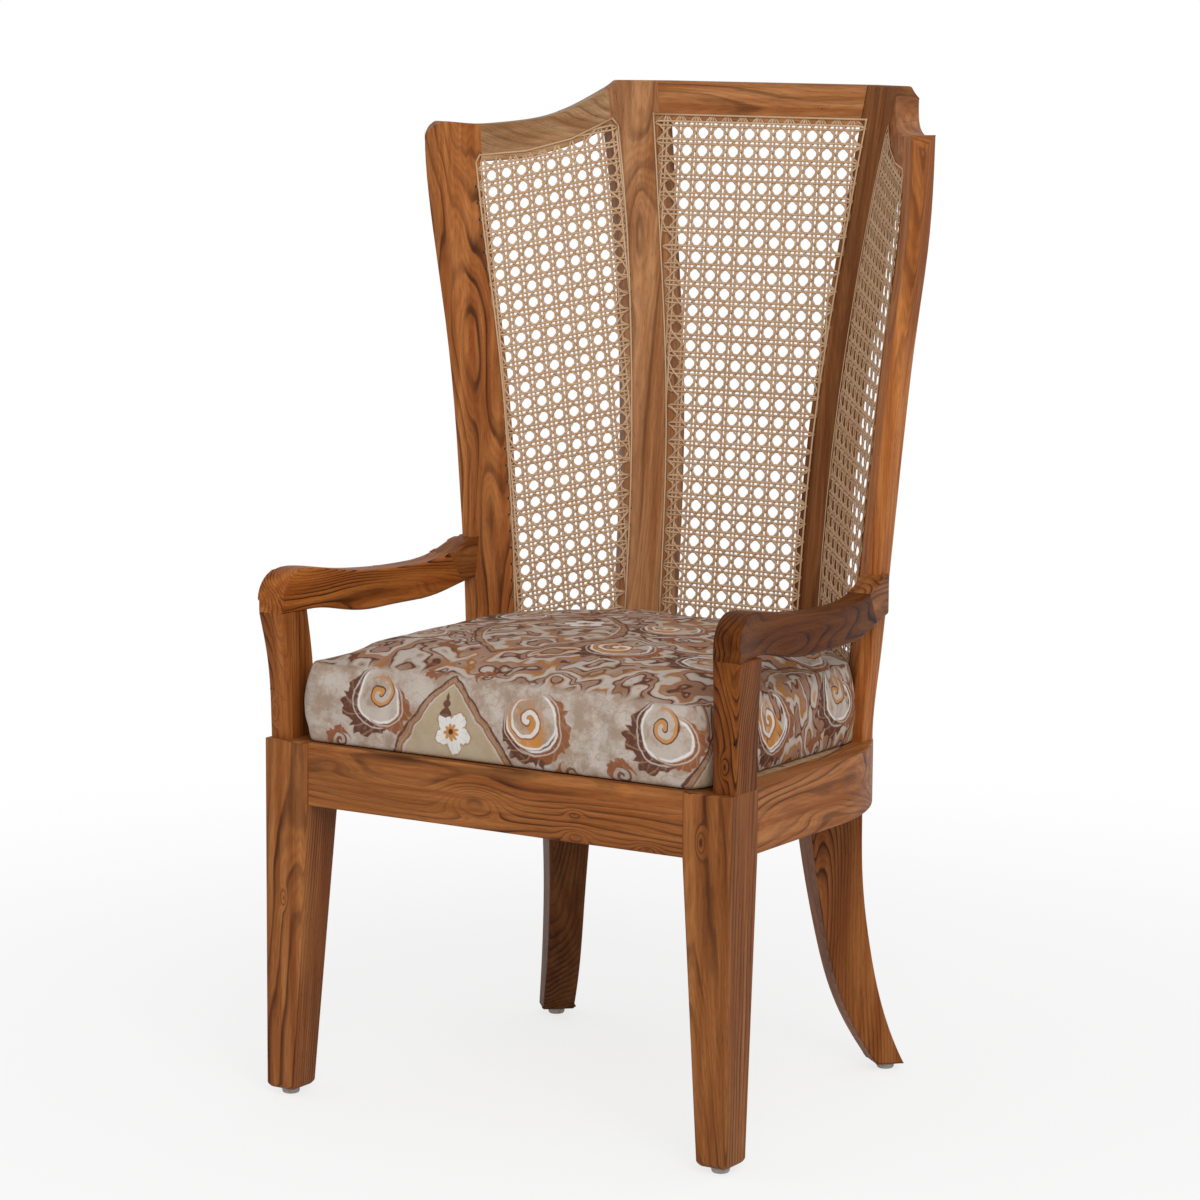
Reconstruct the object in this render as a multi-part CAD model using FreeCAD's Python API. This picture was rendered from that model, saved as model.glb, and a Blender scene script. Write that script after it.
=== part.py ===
import FreeCAD, Part
import math
import os
from FreeCAD import Vector

os.makedirs("parts", exist_ok=True)

# A high-backed cane wing armchair with a loose box cushion.
# While it is drawn, X runs to the right as seen from the front, Y runs back from the front legs
# and Z is up.
# The last step moves it so that the middle of its footprint box is the origin.
# Left and right are as seen by someone who faces the front of the chair.

# Seat frame
seat_width = 575.0
seat_top = 390.0
rail_height = 68.0
rail_thick = 30.0
front_reveal = 1.5
side_reveal = 3.0
bend_radius = 260.0
bend_start = 235.0
rear_turn = 41.5
rear_overhang = 3.0
rear_corner_radius = 26.0
frame_tenon_length = 22.0
frame_tenon_thick = 10.0
frame_tenon_shoulder = 12.0
wood_fit = 0.15

# Front legs
leg_square = 56.0
leg_foot_wide = 36.0
leg_foot_deep = 39.0
foot_round = 4.0

# Rear legs: each is turned in plan and sweeps out and back
rear_leg_side = 168.5
rear_leg_set = 411.5
rear_leg_depth = 63.0
rear_leg_wide = 58.0
rear_leg_sweep = 73.5
rear_tongue_gap = 0.3
# shares of the leg's height, sweep, depth and width
rear_leg_row_shares = (
    (1.00, 0.00, 1.00, 1.00),
    (0.81, 0.06, 0.91, 0.88),
    (0.625, 0.15, 0.83, 0.77),
    (0.44, 0.29, 0.78, 0.70),
    (0.255, 0.49, 0.71, 0.675),
    (0.13, 0.70, 0.62, 0.66),
    (0.00, 1.00, 0.50, 0.63),
)

# Glides under the feet
glide_height = 7.0
glide_top_radius = 9.5
glide_foot_radius = 8.5
nail_radius = 1.5
nail_length = 18.0

# Back: the two corner posts lean back, the two wing posts stand upright and bow outwards
back_top = 1078.0
back_set = 471.0
back_lean = 68.0
corner_spread = 90.5
corner_flare = 53.0
corner_face = 38.0
corner_face_turn = 25.0
wing_front_spread = 237.5
wing_front_flare = 62.5
wing_front_set = 336.0
wing_front_bow = 8.0
wing_post_top = 1033.5
wing_post_face = 45.0
wing_post_turn = 52.0
wing_post_front = 15.5
wing_post_side = 22.0
wing_post_round = 21.0
post_thick = 27.0
back_rail_thick = 26.0
# shares of the back's height, the corner posts' flare and face, and the wing posts' flare and bow
back_row_shares = (
    (0.00, 0.00, 1.00, 0.00, 0.00),
    (0.11, 0.00, 1.00, 0.095, 0.12),
    (0.222, 0.01, 1.00, 0.19, 0.65),
    (0.349, 0.05, 1.00, 0.305, 0.90),
    (0.49, 0.155, 1.00, 0.45, 1.00),
    (0.631, 0.35, 0.97, 0.64, 0.80),
    (0.771, 0.59, 0.95, 0.87, 0.45),
    (0.87, 0.76, 1.00, 0.97, 0.00),
    (0.946, 0.90, 1.06, 1.00, -0.15),
    (1.00, 1.00, 1.10, 1.02, -0.20),
)

# Cane panels: the strands pass through holes drilled a little outside the openings
hole_margin = 9.0
cane_foot = 455.0
centre_cane_top = 1042.0
wing_cane_corner_top = 1039.0
wing_cane_drop = 42.0
wing_top_drop = 48.0
cane_thick = 1.6
cane_lift = 0.3
binder_wide = 5.0
binder_thick = 1.2
lower_rail_height = 44.0
centre_pitch_across = 20.0
centre_pitch_up = 20.0
wing_pitch_across = 17.7
wing_pitch_up = 18.4
wing_row_rise = 9.4
gap_size = 12.0
gap_flat_share = 0.42
# shares of the way from the corner post to the wing post, and of the drop of the top edge
wing_top_shares = (
    (-0.25, -0.9), (-0.03, -0.02), (0.005, 0.09), (0.05, 0.20), (0.108, 0.31), (0.256, 0.56), (0.403, 0.76),
    (0.546, 0.88), (0.688, 0.944), (0.828, 0.985), (0.966, 1.0), (1.124, 0.95), (1.24, 0.93), (1.5, 0.93),
)
# the same for the top line of the cane
wing_cane_shares = (
    (0.04, 0.05), (0.201, 0.37), (0.347, 0.60), (0.491, 0.755), (0.663, 0.905), (0.845, 0.967), (0.97, 1.0),
)

# Arms
arm_end_lap = 2.5
arm_side_lap = 10.0
arm_outer = 287.0
arm_wide = 30.0
arm_flare_out = 9.0
arm_flare_in = 7.0
arm_toe_out = 15.0
arm_toe_in = 9.5
arm_top = 570.5
arm_under = 525.0
arm_top_dip = 18.5
arm_under_dip = 14.0
arm_nose_round = 34.0
stump_front = 10.0
stump_deep = 44.5
stump_wide = 27.5
stump_rear_draw = 8.0
arm_joint_back = 294.0
arm_joint_slant = 25.0
# shares of the arm's length, and of its dip, for the top and the underside
arm_top_shares = (
    (0.12, 0.0), (0.20, 0.19), (0.30, 0.50), (0.46, 0.84), (0.57, 0.98), (0.68, 1.03), (0.80, 0.95),
    (0.885, 0.62), (0.955, 0.16), (1.0, 0.0), (1.04, -0.04),
)
arm_under_shares = (
    (0.14, 0.0), (0.20, 0.09), (0.31, 0.57), (0.44, 0.96), (0.56, 0.98), (0.67, 1.0), (0.78, 0.91),
    (0.88, 0.50), (0.96, 0.09), (1.04, -0.25),
)
# shares of the arm's length, its flare at the front and its toe at the back
arm_outer_shares = (
    (0.0, 1.0, 0.0), (0.045, 0.72, 0.0), (0.09, 0.44, 0.0), (0.18, 0.12, 0.0), (0.33, 0.0, 0.0),
    (0.60, 0.0, 0.0), (0.84, 0.0, 0.40), (1.04, 0.0, 1.0),
)
arm_inner_shares = (
    (0.0, 1.0, 0.0), (0.09, 0.5, 0.0), (0.18, 0.14, 0.0), (0.33, 0.0, 0.0), (0.65, 0.0, 0.0),
    (0.80, 0.0, 0.32), (0.90, 0.0, 0.68), (0.96, 0.0, 0.90), (1.04, 0.0, 1.0),
)
# shares of the stump's height and of its forward and outward reach
stump_rise_shares = ((0.0, 0.0), (0.30, 0.08), (0.63, 0.33), (0.85, 0.70), (1.0, 1.0))

# Dowels
dowel_radius = 5.0
dowel_length = 44.0
dowel_fit = 0.1
dowel_end_gap = 1.0
post_tenon_wide = 22.0
post_tenon_thick = 12.0
post_tenon_length = 28.0

# Seat board and what carries it
board_thick = 9.0
board_gap = 1.0
block_height = 34.0
block_reach = 52.0
cleat_wide = 16.0
cleat_height = 20.0
screw_radius = 2.0
screw_head_radius = 4.0
screw_head_height = 2.4
screw_length = 26.0
leg_screw_length = 48.0

# Cushion
cushion_half = 242.5
cushion_front = 12.0
cushion_height = 102.0
cushion_back_gap = 5.0
cushion_side_straight = 322.0
cushion_rest_gap = 0.3
cover_thick = 3.0
core_gap = 0.4
cushion_corner_cut = 12.0
cushion_draw = 60.0
# shares of the cushion's height, and how far its outline is drawn in, as a share of the draw
cushion_row_shares = (
    (0.00, 0.16), (0.07, 0.05), (0.30, 0.0), (0.62, 0.0), (0.80, 0.06), (0.86, 0.18),
    (0.91, 0.45), (0.955, 1.0), (0.985, 1.9), (1.0, 3.1),
)

# one overrun for all cuts
overrun = 12.0


def mirrored(shape):
    return shape.mirror(Vector(0, 0, 0), Vector(1, 0, 0))


def polygon(points):
    return Part.makePolygon(list(points) + [points[0]])


def block(x0, x1, y0, y1, z0, z1):
    return Part.makeBox(x1 - x0, y1 - y0, z1 - z0, Vector(x0, y0, z0))


def spline(points):
    curve = Part.BSplineCurve()
    curve.interpolate(points)
    return curve.toShape()


def line(a, b):
    return Part.LineSegment(a, b).toShape()


def rod(radius, start, end):
    way = end - start
    return Part.makeCylinder(radius, way.Length, start, way)


def largest(shape):
    return max(shape.Solids, key=lambda solid: solid.Volume)


def loft(rings, flat_sides=False):
    return Part.makeLoft([polygon(ring) for ring in rings], True, flat_sides)


def plan(x, y, z=0.0):
    return Vector(x, y, z)


def turned(angle):
    """the level direction that lies angle degrees from X towards the front"""
    return Vector(math.cos(math.radians(angle)), -math.sin(math.radians(angle)), 0)


def outward(direction):
    """the level direction square to a wing, towards the back"""
    return Vector(-direction.y, direction.x, 0)


# Seat frame

def seat_outline(inset):
    """the outline of the seat rails in plan, drawn in by inset"""
    half = seat_width / 2 - side_reveal
    centre = plan(half - bend_radius, bend_start)
    radius = bend_radius - inset
    square = outward(turned(rear_turn))
    back = back_set + post_thick + rear_overhang - inset
    bend_end = centre + square * radius
    bend_middle = centre + turned(rear_turn / 2 - 45.0) * radius
    run = (back - bend_end.y) / math.sin(math.radians(rear_turn))
    rear = bend_end - turned(rear_turn) * run
    front = plan(half - inset, front_reveal + inset)
    start = plan(half - inset, bend_start)
    flip = [Vector(-p.x, p.y, 0) for p in (front, start, bend_middle, bend_end, rear)]
    edges = [line(front, start), Part.Arc(start, bend_middle, bend_end).toShape(), line(bend_end, rear)]
    edges += [line(rear, flip[4]), line(flip[4], flip[3])]
    edges += [Part.Arc(flip[3], flip[2], flip[1]).toShape(), line(flip[1], flip[0]), line(flip[0], front)]
    return Part.Face(Part.Wire(edges))


def rounded_rear(solid, inset):
    radius = rear_corner_radius - inset
    rear_edges = [e for e in solid.Edges if is_rear_corner(e, inset)]
    return solid.makeFillet(max(radius, rail_height / 20), rear_edges)


def is_rear_corner(edge, inset):
    level = abs(edge.tangentAt(edge.FirstParameter).z)
    back = back_set + post_thick + rear_overhang - inset
    return level > 0.9 and abs(edge.BoundBox.YMax - back) < wood_fit


def seat_ring():
    base = seat_top - rail_height
    outer = seat_outline(0).extrude(Vector(0, 0, rail_height))
    outer.translate(Vector(0, 0, base))
    inner = seat_outline(rail_thick).extrude(Vector(0, 0, rail_height + 2 * overrun))
    inner.translate(Vector(0, 0, base - overrun))
    return rounded_rear(outer, 0).cut(inner)


def leg_corner():
    """the upright corner that a front leg fills"""
    half = seat_width / 2
    return block(half - leg_square, half, 0, leg_square, 0, seat_top)


def rear_joint_cut():
    """all that lies behind the joint of the side rail and the rear quarter rail, right side"""
    way = turned(rear_turn)
    square = outward(way)
    middle = plan(rear_leg_side, rear_leg_set)
    reach = bend_radius * 2
    ring = [middle - square * reach, middle + square * reach]
    ring += [middle + square * reach - way * reach, middle - square * reach - way * reach]
    return Part.Face(polygon(ring)).extrude(Vector(0, 0, seat_top + overrun))


def seat_rails():
    ring = seat_ring()
    corners = leg_corner().fuse(mirrored(leg_corner()))
    far = seat_width
    front_depth = front_reveal + rail_thick
    front = ring.common(block(-far, far, 0, front_depth, 0, seat_top + overrun)).cut(corners)
    rest = ring.cut(block(-far, far, 0, leg_square, 0, seat_top + overrun))
    behind = rear_joint_cut()
    right_half = rest.common(block(0, far, 0, far, 0, seat_top + overrun))
    side = right_half.cut(behind)
    rear_square = back_set + post_thick + rear_overhang - rail_thick
    rear_piece = ring.common(block(-far, far, rear_square, far, 0, seat_top + overrun))
    quarter = right_half.common(behind).cut(block(-far, far, rear_square, far, 0, seat_top + overrun))
    return front, side, quarter, rear_piece


def tenon_height():
    return rail_height - 2 * frame_tenon_shoulder


def front_tenon(grow):
    """the tenon at the right end of the front rail"""
    x = seat_width / 2 - leg_square
    y = front_reveal + rail_thick / 2
    z = seat_top - rail_height + frame_tenon_shoulder
    half = frame_tenon_thick / 2 + grow
    end = x + frame_tenon_length + grow
    return block(x, end, y - half, y + half, z - grow, z + tenon_height() + grow)


def side_tenon(grow):
    """the tenon at the front end of the right side rail"""
    x = seat_width / 2 - side_reveal - rail_thick / 2
    z = seat_top - rail_height + frame_tenon_shoulder
    half = frame_tenon_thick / 2 + grow
    near = leg_square - frame_tenon_length
    return block(x - half, x + half, near - grow, leg_square, z - grow, z + tenon_height() + grow)


# Legs

def front_leg():
    half = seat_width / 2
    knee = seat_top - rail_height
    top = block(half - leg_square, half, 0, leg_square, knee, seat_top)
    upper = [plan(half - leg_square, 0, knee), plan(half, 0, knee)]
    upper += [plan(half, leg_square, knee), plan(half - leg_square, leg_square, knee)]
    inner = half - leg_foot_wide
    lower = [plan(inner, 0, glide_height), plan(half, 0, glide_height)]
    lower += [plan(half, leg_foot_deep, glide_height), plan(inner, leg_foot_deep, glide_height)]
    taper = loft([lower, upper], True)
    foot_edges = [e for e in taper.Edges if e.BoundBox.ZMax < glide_height + wood_fit]
    leg = top.fuse(taper.makeChamfer(foot_round, foot_edges)).removeSplitter()
    leg = leg.cut(front_tenon(wood_fit)).cut(side_tenon(wood_fit))
    return leg


def front_foot():
    half = seat_width / 2
    return plan(half - leg_foot_wide / 2, leg_foot_deep / 2, glide_height)


def rear_leg_ring(height_share, sweep_share, depth_share, wide_share):
    way = turned(rear_turn)
    square = outward(way)
    knee = seat_top - rail_height
    z = glide_height + (knee - glide_height) * height_share
    middle = plan(rear_leg_side, rear_leg_set, z) + square * (rear_leg_sweep * sweep_share)
    deep = square * (rear_leg_depth * depth_share / 2)
    wide = way * (rear_leg_wide * wide_share / 2)
    return [middle - deep - wide, middle - deep + wide, middle + deep + wide, middle + deep - wide]


def rear_tongue():
    """the inner part of a rear leg, which rises beside the rails to carry the seat board"""
    way = turned(rear_turn)
    square = outward(way)
    knee = seat_top - rail_height
    middle = plan(rear_leg_side, rear_leg_set, knee)
    wide = way * (rear_leg_wide / 2)
    near = middle - square * (rear_leg_depth / 2)
    rail_face = rear_rail_line() - rail_thick - rear_tongue_gap
    far = near + square * (rail_face - near.dot(square))
    ring = [near - wide, near + wide, far + wide, far - wide]
    tongue = Part.Face(polygon(ring)).extrude(Vector(0, 0, rail_height - board_thick))
    return tongue.common(seat_outline(rail_thick + rear_tongue_gap).extrude(Vector(0, 0, seat_top)))


def rear_rail_line():
    """how far the outer face of the slanted rear rails lies from the origin, square to them"""
    square = outward(turned(rear_turn))
    centre = plan(seat_width / 2 - side_reveal - bend_radius, bend_start)
    return centre.dot(square) + bend_radius


def rear_leg():
    rings = [rear_leg_ring(*row) for row in rear_leg_row_shares]
    leg = loft(rings)
    foot_edges = [e for e in leg.Edges if e.BoundBox.ZMax < glide_height + wood_fit]
    leg = leg.makeChamfer(foot_round / 2, foot_edges)
    return leg.fuse(rear_tongue())


def rear_foot():
    square = outward(turned(rear_turn))
    return plan(rear_leg_side, rear_leg_set, glide_height) + square * rear_leg_sweep


def glide(foot):
    base = Vector(foot.x, foot.y, 0)
    return Part.makeCone(glide_foot_radius, glide_top_radius, glide_height, base, Vector(0, 0, 1))


def glide_nail(foot, grow):
    start = foot - Vector(0, 0, glide_height / 2)
    return rod(nail_radius + grow, start, foot + Vector(0, 0, nail_length + grow))


# Back

def back_row(row):
    """the named plan points of the back at one height, right side"""
    height_share, flare_share, face_share, front_share, bow_share = row
    z = seat_top + (back_top - seat_top) * height_share
    corner = plan(corner_spread + corner_flare * flare_share, back_set + back_lean * height_share, z)
    wing_inner = corner + turned(corner_face_turn) * (corner_face * face_share)
    front_x = wing_front_spread + wing_front_flare * front_share
    front = plan(front_x, wing_front_set + wing_front_bow * bow_share, z)
    face_way = turned(wing_post_turn)
    wing_outer = front - face_way * wing_post_face
    wing_way = (wing_outer - wing_inner).normalize()
    return {
        "z": z,
        "corner": corner,
        "corner_in": corner - Vector(hole_margin, 0, 0),
        "wing_inner": wing_inner,
        "wing_inner_in": wing_inner + wing_way * hole_margin,
        "front": front,
        "front_outer": front + Vector(wing_post_front, 0, 0),
        "side_outer": front + Vector(wing_post_front, wing_post_side, 0),
        "wing_outer": wing_outer,
        "wing_outer_in": wing_outer - wing_way * hole_margin,
        "post_back": outward(face_way) * post_thick,
        "way": wing_way,
        "back": outward(wing_way),
        "width": (wing_outer - wing_inner).Length,
    }


def back_rows():
    return [back_row(row) for row in back_row_shares]


def wing_point(share, z):
    """a point on the front face of the right wing, share of the way from corner post to wing post"""
    rows = back_rows()
    low = [r for r in rows[:-1] if r["z"] <= z] or rows[:1]
    a = low[-1]
    b = rows[rows.index(a) + 1]
    part = (z - a["z"]) / (b["z"] - a["z"])
    inner = a["wing_inner"] + (b["wing_inner"] - a["wing_inner"]) * part
    outer = a["wing_outer"] + (b["wing_outer"] - a["wing_outer"]) * part
    return inner + (outer - inner) * share


def corner_post():
    rings = []
    for r in back_rows():
        back_inner = r["corner_in"] + Vector(0, post_thick, 0)
        back_outer = r["wing_inner_in"] + r["back"] * post_thick
        front = [r["corner_in"], r["corner"], r["wing_inner"], r["wing_inner_in"]]
        rings.append(front + [back_outer, back_inner])
    return loft(rings)


def wing_post():
    rings = []
    for r in back_rows():
        back_inner = r["wing_outer_in"] + r["post_back"]
        front = [r["wing_outer_in"], r["wing_outer"], r["front"], r["front_outer"]]
        rings.append(front + [r["side_outer"], back_inner])
    post = loft(rings)
    return post.common(wing_post_cap())


def wing_post_cap():
    """keeps the wing post under its top, which is rounded towards the front"""
    tip = wing_point(1.0, wing_post_top)
    way = turned(wing_post_turn)
    near = tip - way * (wing_post_face * 2)
    far = tip + way * (wing_post_face + wing_post_front / 2)
    low = Vector(0, 0, -wing_post_round)
    mid = far - way * (wing_post_round * 0.3) + Vector(0, 0, -wing_post_round * 0.3)
    up = far - way * wing_post_round
    foot = Vector(0, 0, seat_top - wing_post_top)
    edges = [line(near + foot, near), line(near, up), Part.Arc(up, mid, far + low).toShape()]
    edges += [line(far + low, far + foot), line(far + foot, near + foot)]
    face = Part.Face(Part.Wire(edges))
    thickness = outward(way) * (post_thick * 4)
    face.translate(thickness * -0.5)
    return face.extrude(thickness)


def wing_slab(front_gap, thick):
    """a sheet that follows the right wing, front_gap in front of it and thick deep"""
    rings = []
    for r in back_rows():
        start = r["wing_inner"] - r["way"] * hole_margin - r["back"] * front_gap
        end = r["wing_outer"] + r["way"] * hole_margin * 2 - r["back"] * front_gap
        rings.append([start, end, end + r["back"] * thick, start + r["back"] * thick])
    return loft(rings)


def wing_joints():
    """what lies beyond the joints of the wing rails with the two posts"""
    inner = []
    outer = []
    for r in back_rows():
        reach = r["way"] * (hole_margin * 3)
        front = r["wing_inner_in"] - r["back"] * post_thick
        back = r["wing_inner_in"] + r["back"] * (post_thick * 2)
        inner.append([front - reach, front, back, back - reach])
        front = r["wing_outer_in"] - r["post_back"]
        back = r["wing_outer_in"] + r["post_back"] * 2
        outer.append([front, front + reach * 2, back + reach * 2, back])
    return loft(inner).fuse(loft(outer))


def wing_mean_way():
    rows = back_rows()
    return rows[len(rows) // 2]["way"]


def flat_to_wing(points):
    """moves points along the wing's mean square direction onto one upright plane in front of it"""
    way = wing_mean_way()
    back = outward(way)
    origin = wing_point(0, seat_top) - back * (post_thick * 3)
    return [p - back * (p - origin).dot(back) for p in points]


def wing_prism(edges):
    """what lies behind a closed outline on the upright plane in front of the wing"""
    back = outward(wing_mean_way())
    return Part.Face(Part.Wire(edges)).extrude(back * (post_thick * 8))


def wing_top_line():
    drop = [(share, back_top - wing_top_drop * fall) for share, fall in wing_top_shares]
    return flat_to_wing([wing_point(share, z) for share, z in drop])


def wing_cane_line(raise_by):
    drop = [(share, wing_cane_corner_top - wing_cane_drop * fall) for share, fall in wing_cane_shares]
    line_points = flat_to_wing([wing_point(share, z) for share, z in drop])
    return [p + Vector(0, 0, raise_by) for p in line_points]


def wing_cane_outline(inset):
    """the outline through the drilled holes of a wing panel, drawn in by inset, as edges"""
    rows = back_rows()
    way = wing_mean_way()
    top = wing_cane_line(-inset)
    inner = [wing_point(0, z_of) for z_of in side_heights(rows, top[0].z)]
    outer = [wing_point(1, z_of) for z_of in side_heights(rows, top[-1].z)]
    foot = Vector(0, 0, inset)
    inner = [p + way * inset for p in flat_to_wing(inner)]
    outer = [p - way * inset for p in flat_to_wing(outer)]
    inner[0] = inner[0] + foot
    outer[0] = outer[0] + foot
    top = [p for p in top if p.dot(way) > inner[-1].dot(way) and p.dot(way) < outer[-1].dot(way)]
    edges = [spline(inner), line(inner[-1], top[0]), spline(top), line(top[-1], outer[-1])]
    edges += [spline(outer[::-1]), line(outer[0], inner[0])]
    return edges


def side_heights(rows, top_z):
    """heights for the upright sides of a wing panel, from its foot to just under its top corner"""
    corner = top_z - hole_margin
    middle = [r["z"] for r in rows if cane_foot + hole_margin < r["z"] < corner - hole_margin]
    return [cane_foot] + middle + [corner]


def wing_top_rail():
    top = wing_top_line()
    low = wing_cane_line(-hole_margin)
    way = wing_mean_way()
    start = flat_to_wing([wing_point(0, back_top) + way * (hole_margin * 0.5)])[0]
    low_start = flat_to_wing([wing_point(0, low[0].z) + way * (hole_margin * 0.5)])[0]
    low_start.z = low[0].z + hole_margin / 2
    end = flat_to_wing([wing_point(1.0, wing_post_top)])[0]
    low_end = flat_to_wing([wing_point(1.0, low[-1].z)])[0]
    low_end.z = low[-1].z
    high = Vector(0, 0, wing_top_drop * 2)
    edges = [line(low_start, start + high), line(start + high, end + high), line(end + high, low_end)]
    edges += [line(low_end, low[-1]), spline(low[::-1]), line(low[0], low_start)]
    rail = wing_slab(0, back_rail_thick).common(wing_prism(edges))
    rail = rail.cut(wing_joints())
    return largest(rail.cut(wing_above(top)))


def wing_above(top):
    """all that lies over the swooping top edge of the wing"""
    high = Vector(0, 0, wing_top_drop * 4)
    edges = [spline(top), line(top[-1], top[-1] + high), line(top[-1] + high, top[0] + high)]
    edges += [line(top[0] + high, top[0])]
    return wing_prism(edges)


def wing_lower_rail():
    way = wing_mean_way()
    top = cane_foot + hole_margin
    low = top - lower_rail_height
    start = flat_to_wing([wing_point(0, low) - way * hole_margin])[0]
    end = flat_to_wing([wing_point(1.0, low) + way * hole_margin])[0]
    start.z = low
    end.z = low
    high = Vector(0, 0, lower_rail_height)
    ring = polygon([start, end, end + high, start + high])
    rail = wing_slab(0, back_rail_thick).common(wing_prism(ring.Edges))
    return largest(rail.cut(wing_joints()))


def lean_at(z):
    """the centre panel's front face at a height"""
    return back_set + back_lean * (z - seat_top) / (back_top - seat_top)


def leaning_board(half, z0, z1, front_gap, thick):
    """a board in the plane of the centre panel"""
    y0 = lean_at(z0) - front_gap
    y1 = lean_at(z1) - front_gap
    ring = [Vector(-half, y0, z0), Vector(half, y0, z0)]
    ring += [Vector(half, y1, z1), Vector(-half, y1, z1)]
    return Part.Face(polygon(ring)).extrude(Vector(0, thick, 0))


def centre_rail(z0, z1, posts):
    half = corner_spread + corner_flare + hole_margin
    board = leaning_board(half, z0, z1, 0, back_rail_thick)
    inside = [s for s in board.cut(posts).Solids if abs(s.CenterOfMass.x) < hole_margin]
    return inside[0]


def centre_side(rows, top_z, inset):
    """the right side of the centre panel's outline, from foot to top"""
    points = []
    middle = [r["z"] for r in rows if cane_foot + hole_margin < r["z"] < top_z - hole_margin]
    for z in [cane_foot + inset] + middle + [top_z - inset]:
        points.append(Vector(corner_x(rows, z) - inset, lean_at(z), z))
    return points


def corner_x(rows, z):
    low = [r for r in rows[:-1] if r["z"] <= z][-1]
    high = rows[rows.index(low) + 1]
    part = (z - low["z"]) / (high["z"] - low["z"])
    return low["corner"].x + (high["corner"].x - low["corner"].x) * part


def centre_panel_face(inset):
    side = centre_side(back_rows(), centre_cane_top, inset)
    flip = [Vector(-p.x, p.y, p.z) for p in side]
    edges = [spline(side), line(side[-1], flip[-1]), spline(flip[::-1]), line(flip[0], side[0])]
    return Part.Face(Part.Wire(edges))


def gap_ring(middle, across, up):
    """the eight-sided gap between crossing strands"""
    half = gap_size / 2
    flat = half * gap_flat_share
    corners = [(half, -flat), (half, flat), (flat, half), (-flat, half)]
    corners += [(-half, flat), (-half, -flat), (-flat, -half), (flat, -half)]
    return polygon([middle + across * a + up * b for a, b in corners])


def centre_net():
    sheet = centre_panel_face(0).extrude(Vector(0, -cane_thick, 0))
    rows = back_rows()
    gaps = []
    across = Vector(1, 0, 0)
    up = Vector(0, 0, 1)
    z = centre_cane_top - centre_pitch_up * 0.8
    while z > cane_foot + gap_size:
        reach = corner_x(rows, z) - gap_size
        count = int(reach / centre_pitch_across)
        for i in range(-count, count + 1):
            middle = Vector(i * centre_pitch_across, lean_at(z) - post_thick, z)
            gaps.append(Part.Face(gap_ring(middle, across, up)).extrude(Vector(0, post_thick * 2, 0)))
        z -= centre_pitch_up
    print("gaps in the centre panel", len(gaps))
    return sheet.cut(Part.makeCompound(gaps))


def wing_net():
    slab = wing_slab(cane_lift + cane_thick, cane_thick)
    sheet = slab.common(wing_prism(wing_cane_outline(0)))
    way = wing_mean_way()
    back = outward(way)
    rise = math.tan(math.radians(wing_row_rise))
    low = flat_to_wing([wing_point(1.0, cane_foot)])[0]
    room = Part.Face(Part.Wire(wing_cane_outline(gap_size * 0.75)))
    gaps = []
    up = Vector(0, 0, 1)
    rows_up = int((back_top - cane_foot) / wing_pitch_up)
    columns = int(rows_width() / wing_pitch_across) + 2
    for i in range(columns):
        for j in range(rows_up):
            lean = wing_lean() * j * wing_pitch_up
            out = -(i + 0.75) * wing_pitch_across + lean
            z = (j + 0.75) * wing_pitch_up + i * wing_pitch_across * rise
            middle = low + way * out + Vector(0, 0, z)
            if room.isInside(middle, wood_fit, True):
                gaps.append(Part.Face(gap_ring(middle, way, up)).extrude(back * (post_thick * 8)))
    print("gaps in a wing panel", len(gaps))
    return sheet.cut(Part.makeCompound(gaps))


def rows_width():
    return max(r["width"] for r in back_rows())


def wing_lean():
    """how far the wing's upright strands lean outwards for each unit of height"""
    low = flat_to_wing([wing_point(1.0, cane_foot), wing_point(1.0, wing_post_top)])
    return (low[1] - low[0]).dot(wing_mean_way()) / (wing_post_top - cane_foot)


def centre_binder():
    ring = centre_panel_face(0).cut(centre_panel_face(binder_wide))
    ring.translate(Vector(0, -cane_thick, 0))
    return ring.extrude(Vector(0, -binder_thick, 0))


def wing_binder():
    slab = wing_slab(cane_lift * 2 + cane_thick + binder_thick, binder_thick)
    outer = wing_prism(wing_cane_outline(0))
    return slab.common(outer).cut(wing_prism(wing_cane_outline(binder_wide)))


# Post feet stand on the seat rails with a tenon each

def foot_tenon(points, way, grow):
    middle = sum(points[1:], points[0]) * (1.0 / len(points))
    square = outward(way)
    wide = way * (post_tenon_wide / 2 + grow)
    thick = square * (post_tenon_thick / 2 + grow)
    ring = [middle - wide - thick, middle + wide - thick, middle + wide + thick, middle - wide + thick]
    return Part.Face(polygon(ring)).extrude(Vector(0, 0, -post_tenon_length - grow))


def corner_foot_tenon(grow):
    r = back_rows()[0]
    back_inner = r["corner_in"] + Vector(0, post_thick, 0)
    back_outer = r["wing_inner_in"] + r["back"] * post_thick
    ring = [r["corner_in"], r["wing_inner_in"], back_inner, back_outer]
    return foot_tenon(ring, turned(corner_face_turn), grow)


def wing_foot_tenon(grow):
    r = back_rows()[0]
    points = [r["wing_outer_in"], r["front"], r["side_outer"], r["wing_outer_in"] + r["post_back"]]
    return foot_tenon(points, turned(wing_post_turn), grow)


# Arms

def arm_length():
    return wing_front_set + wing_front_bow * back_row_shares[2][4] + arm_end_lap


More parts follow.
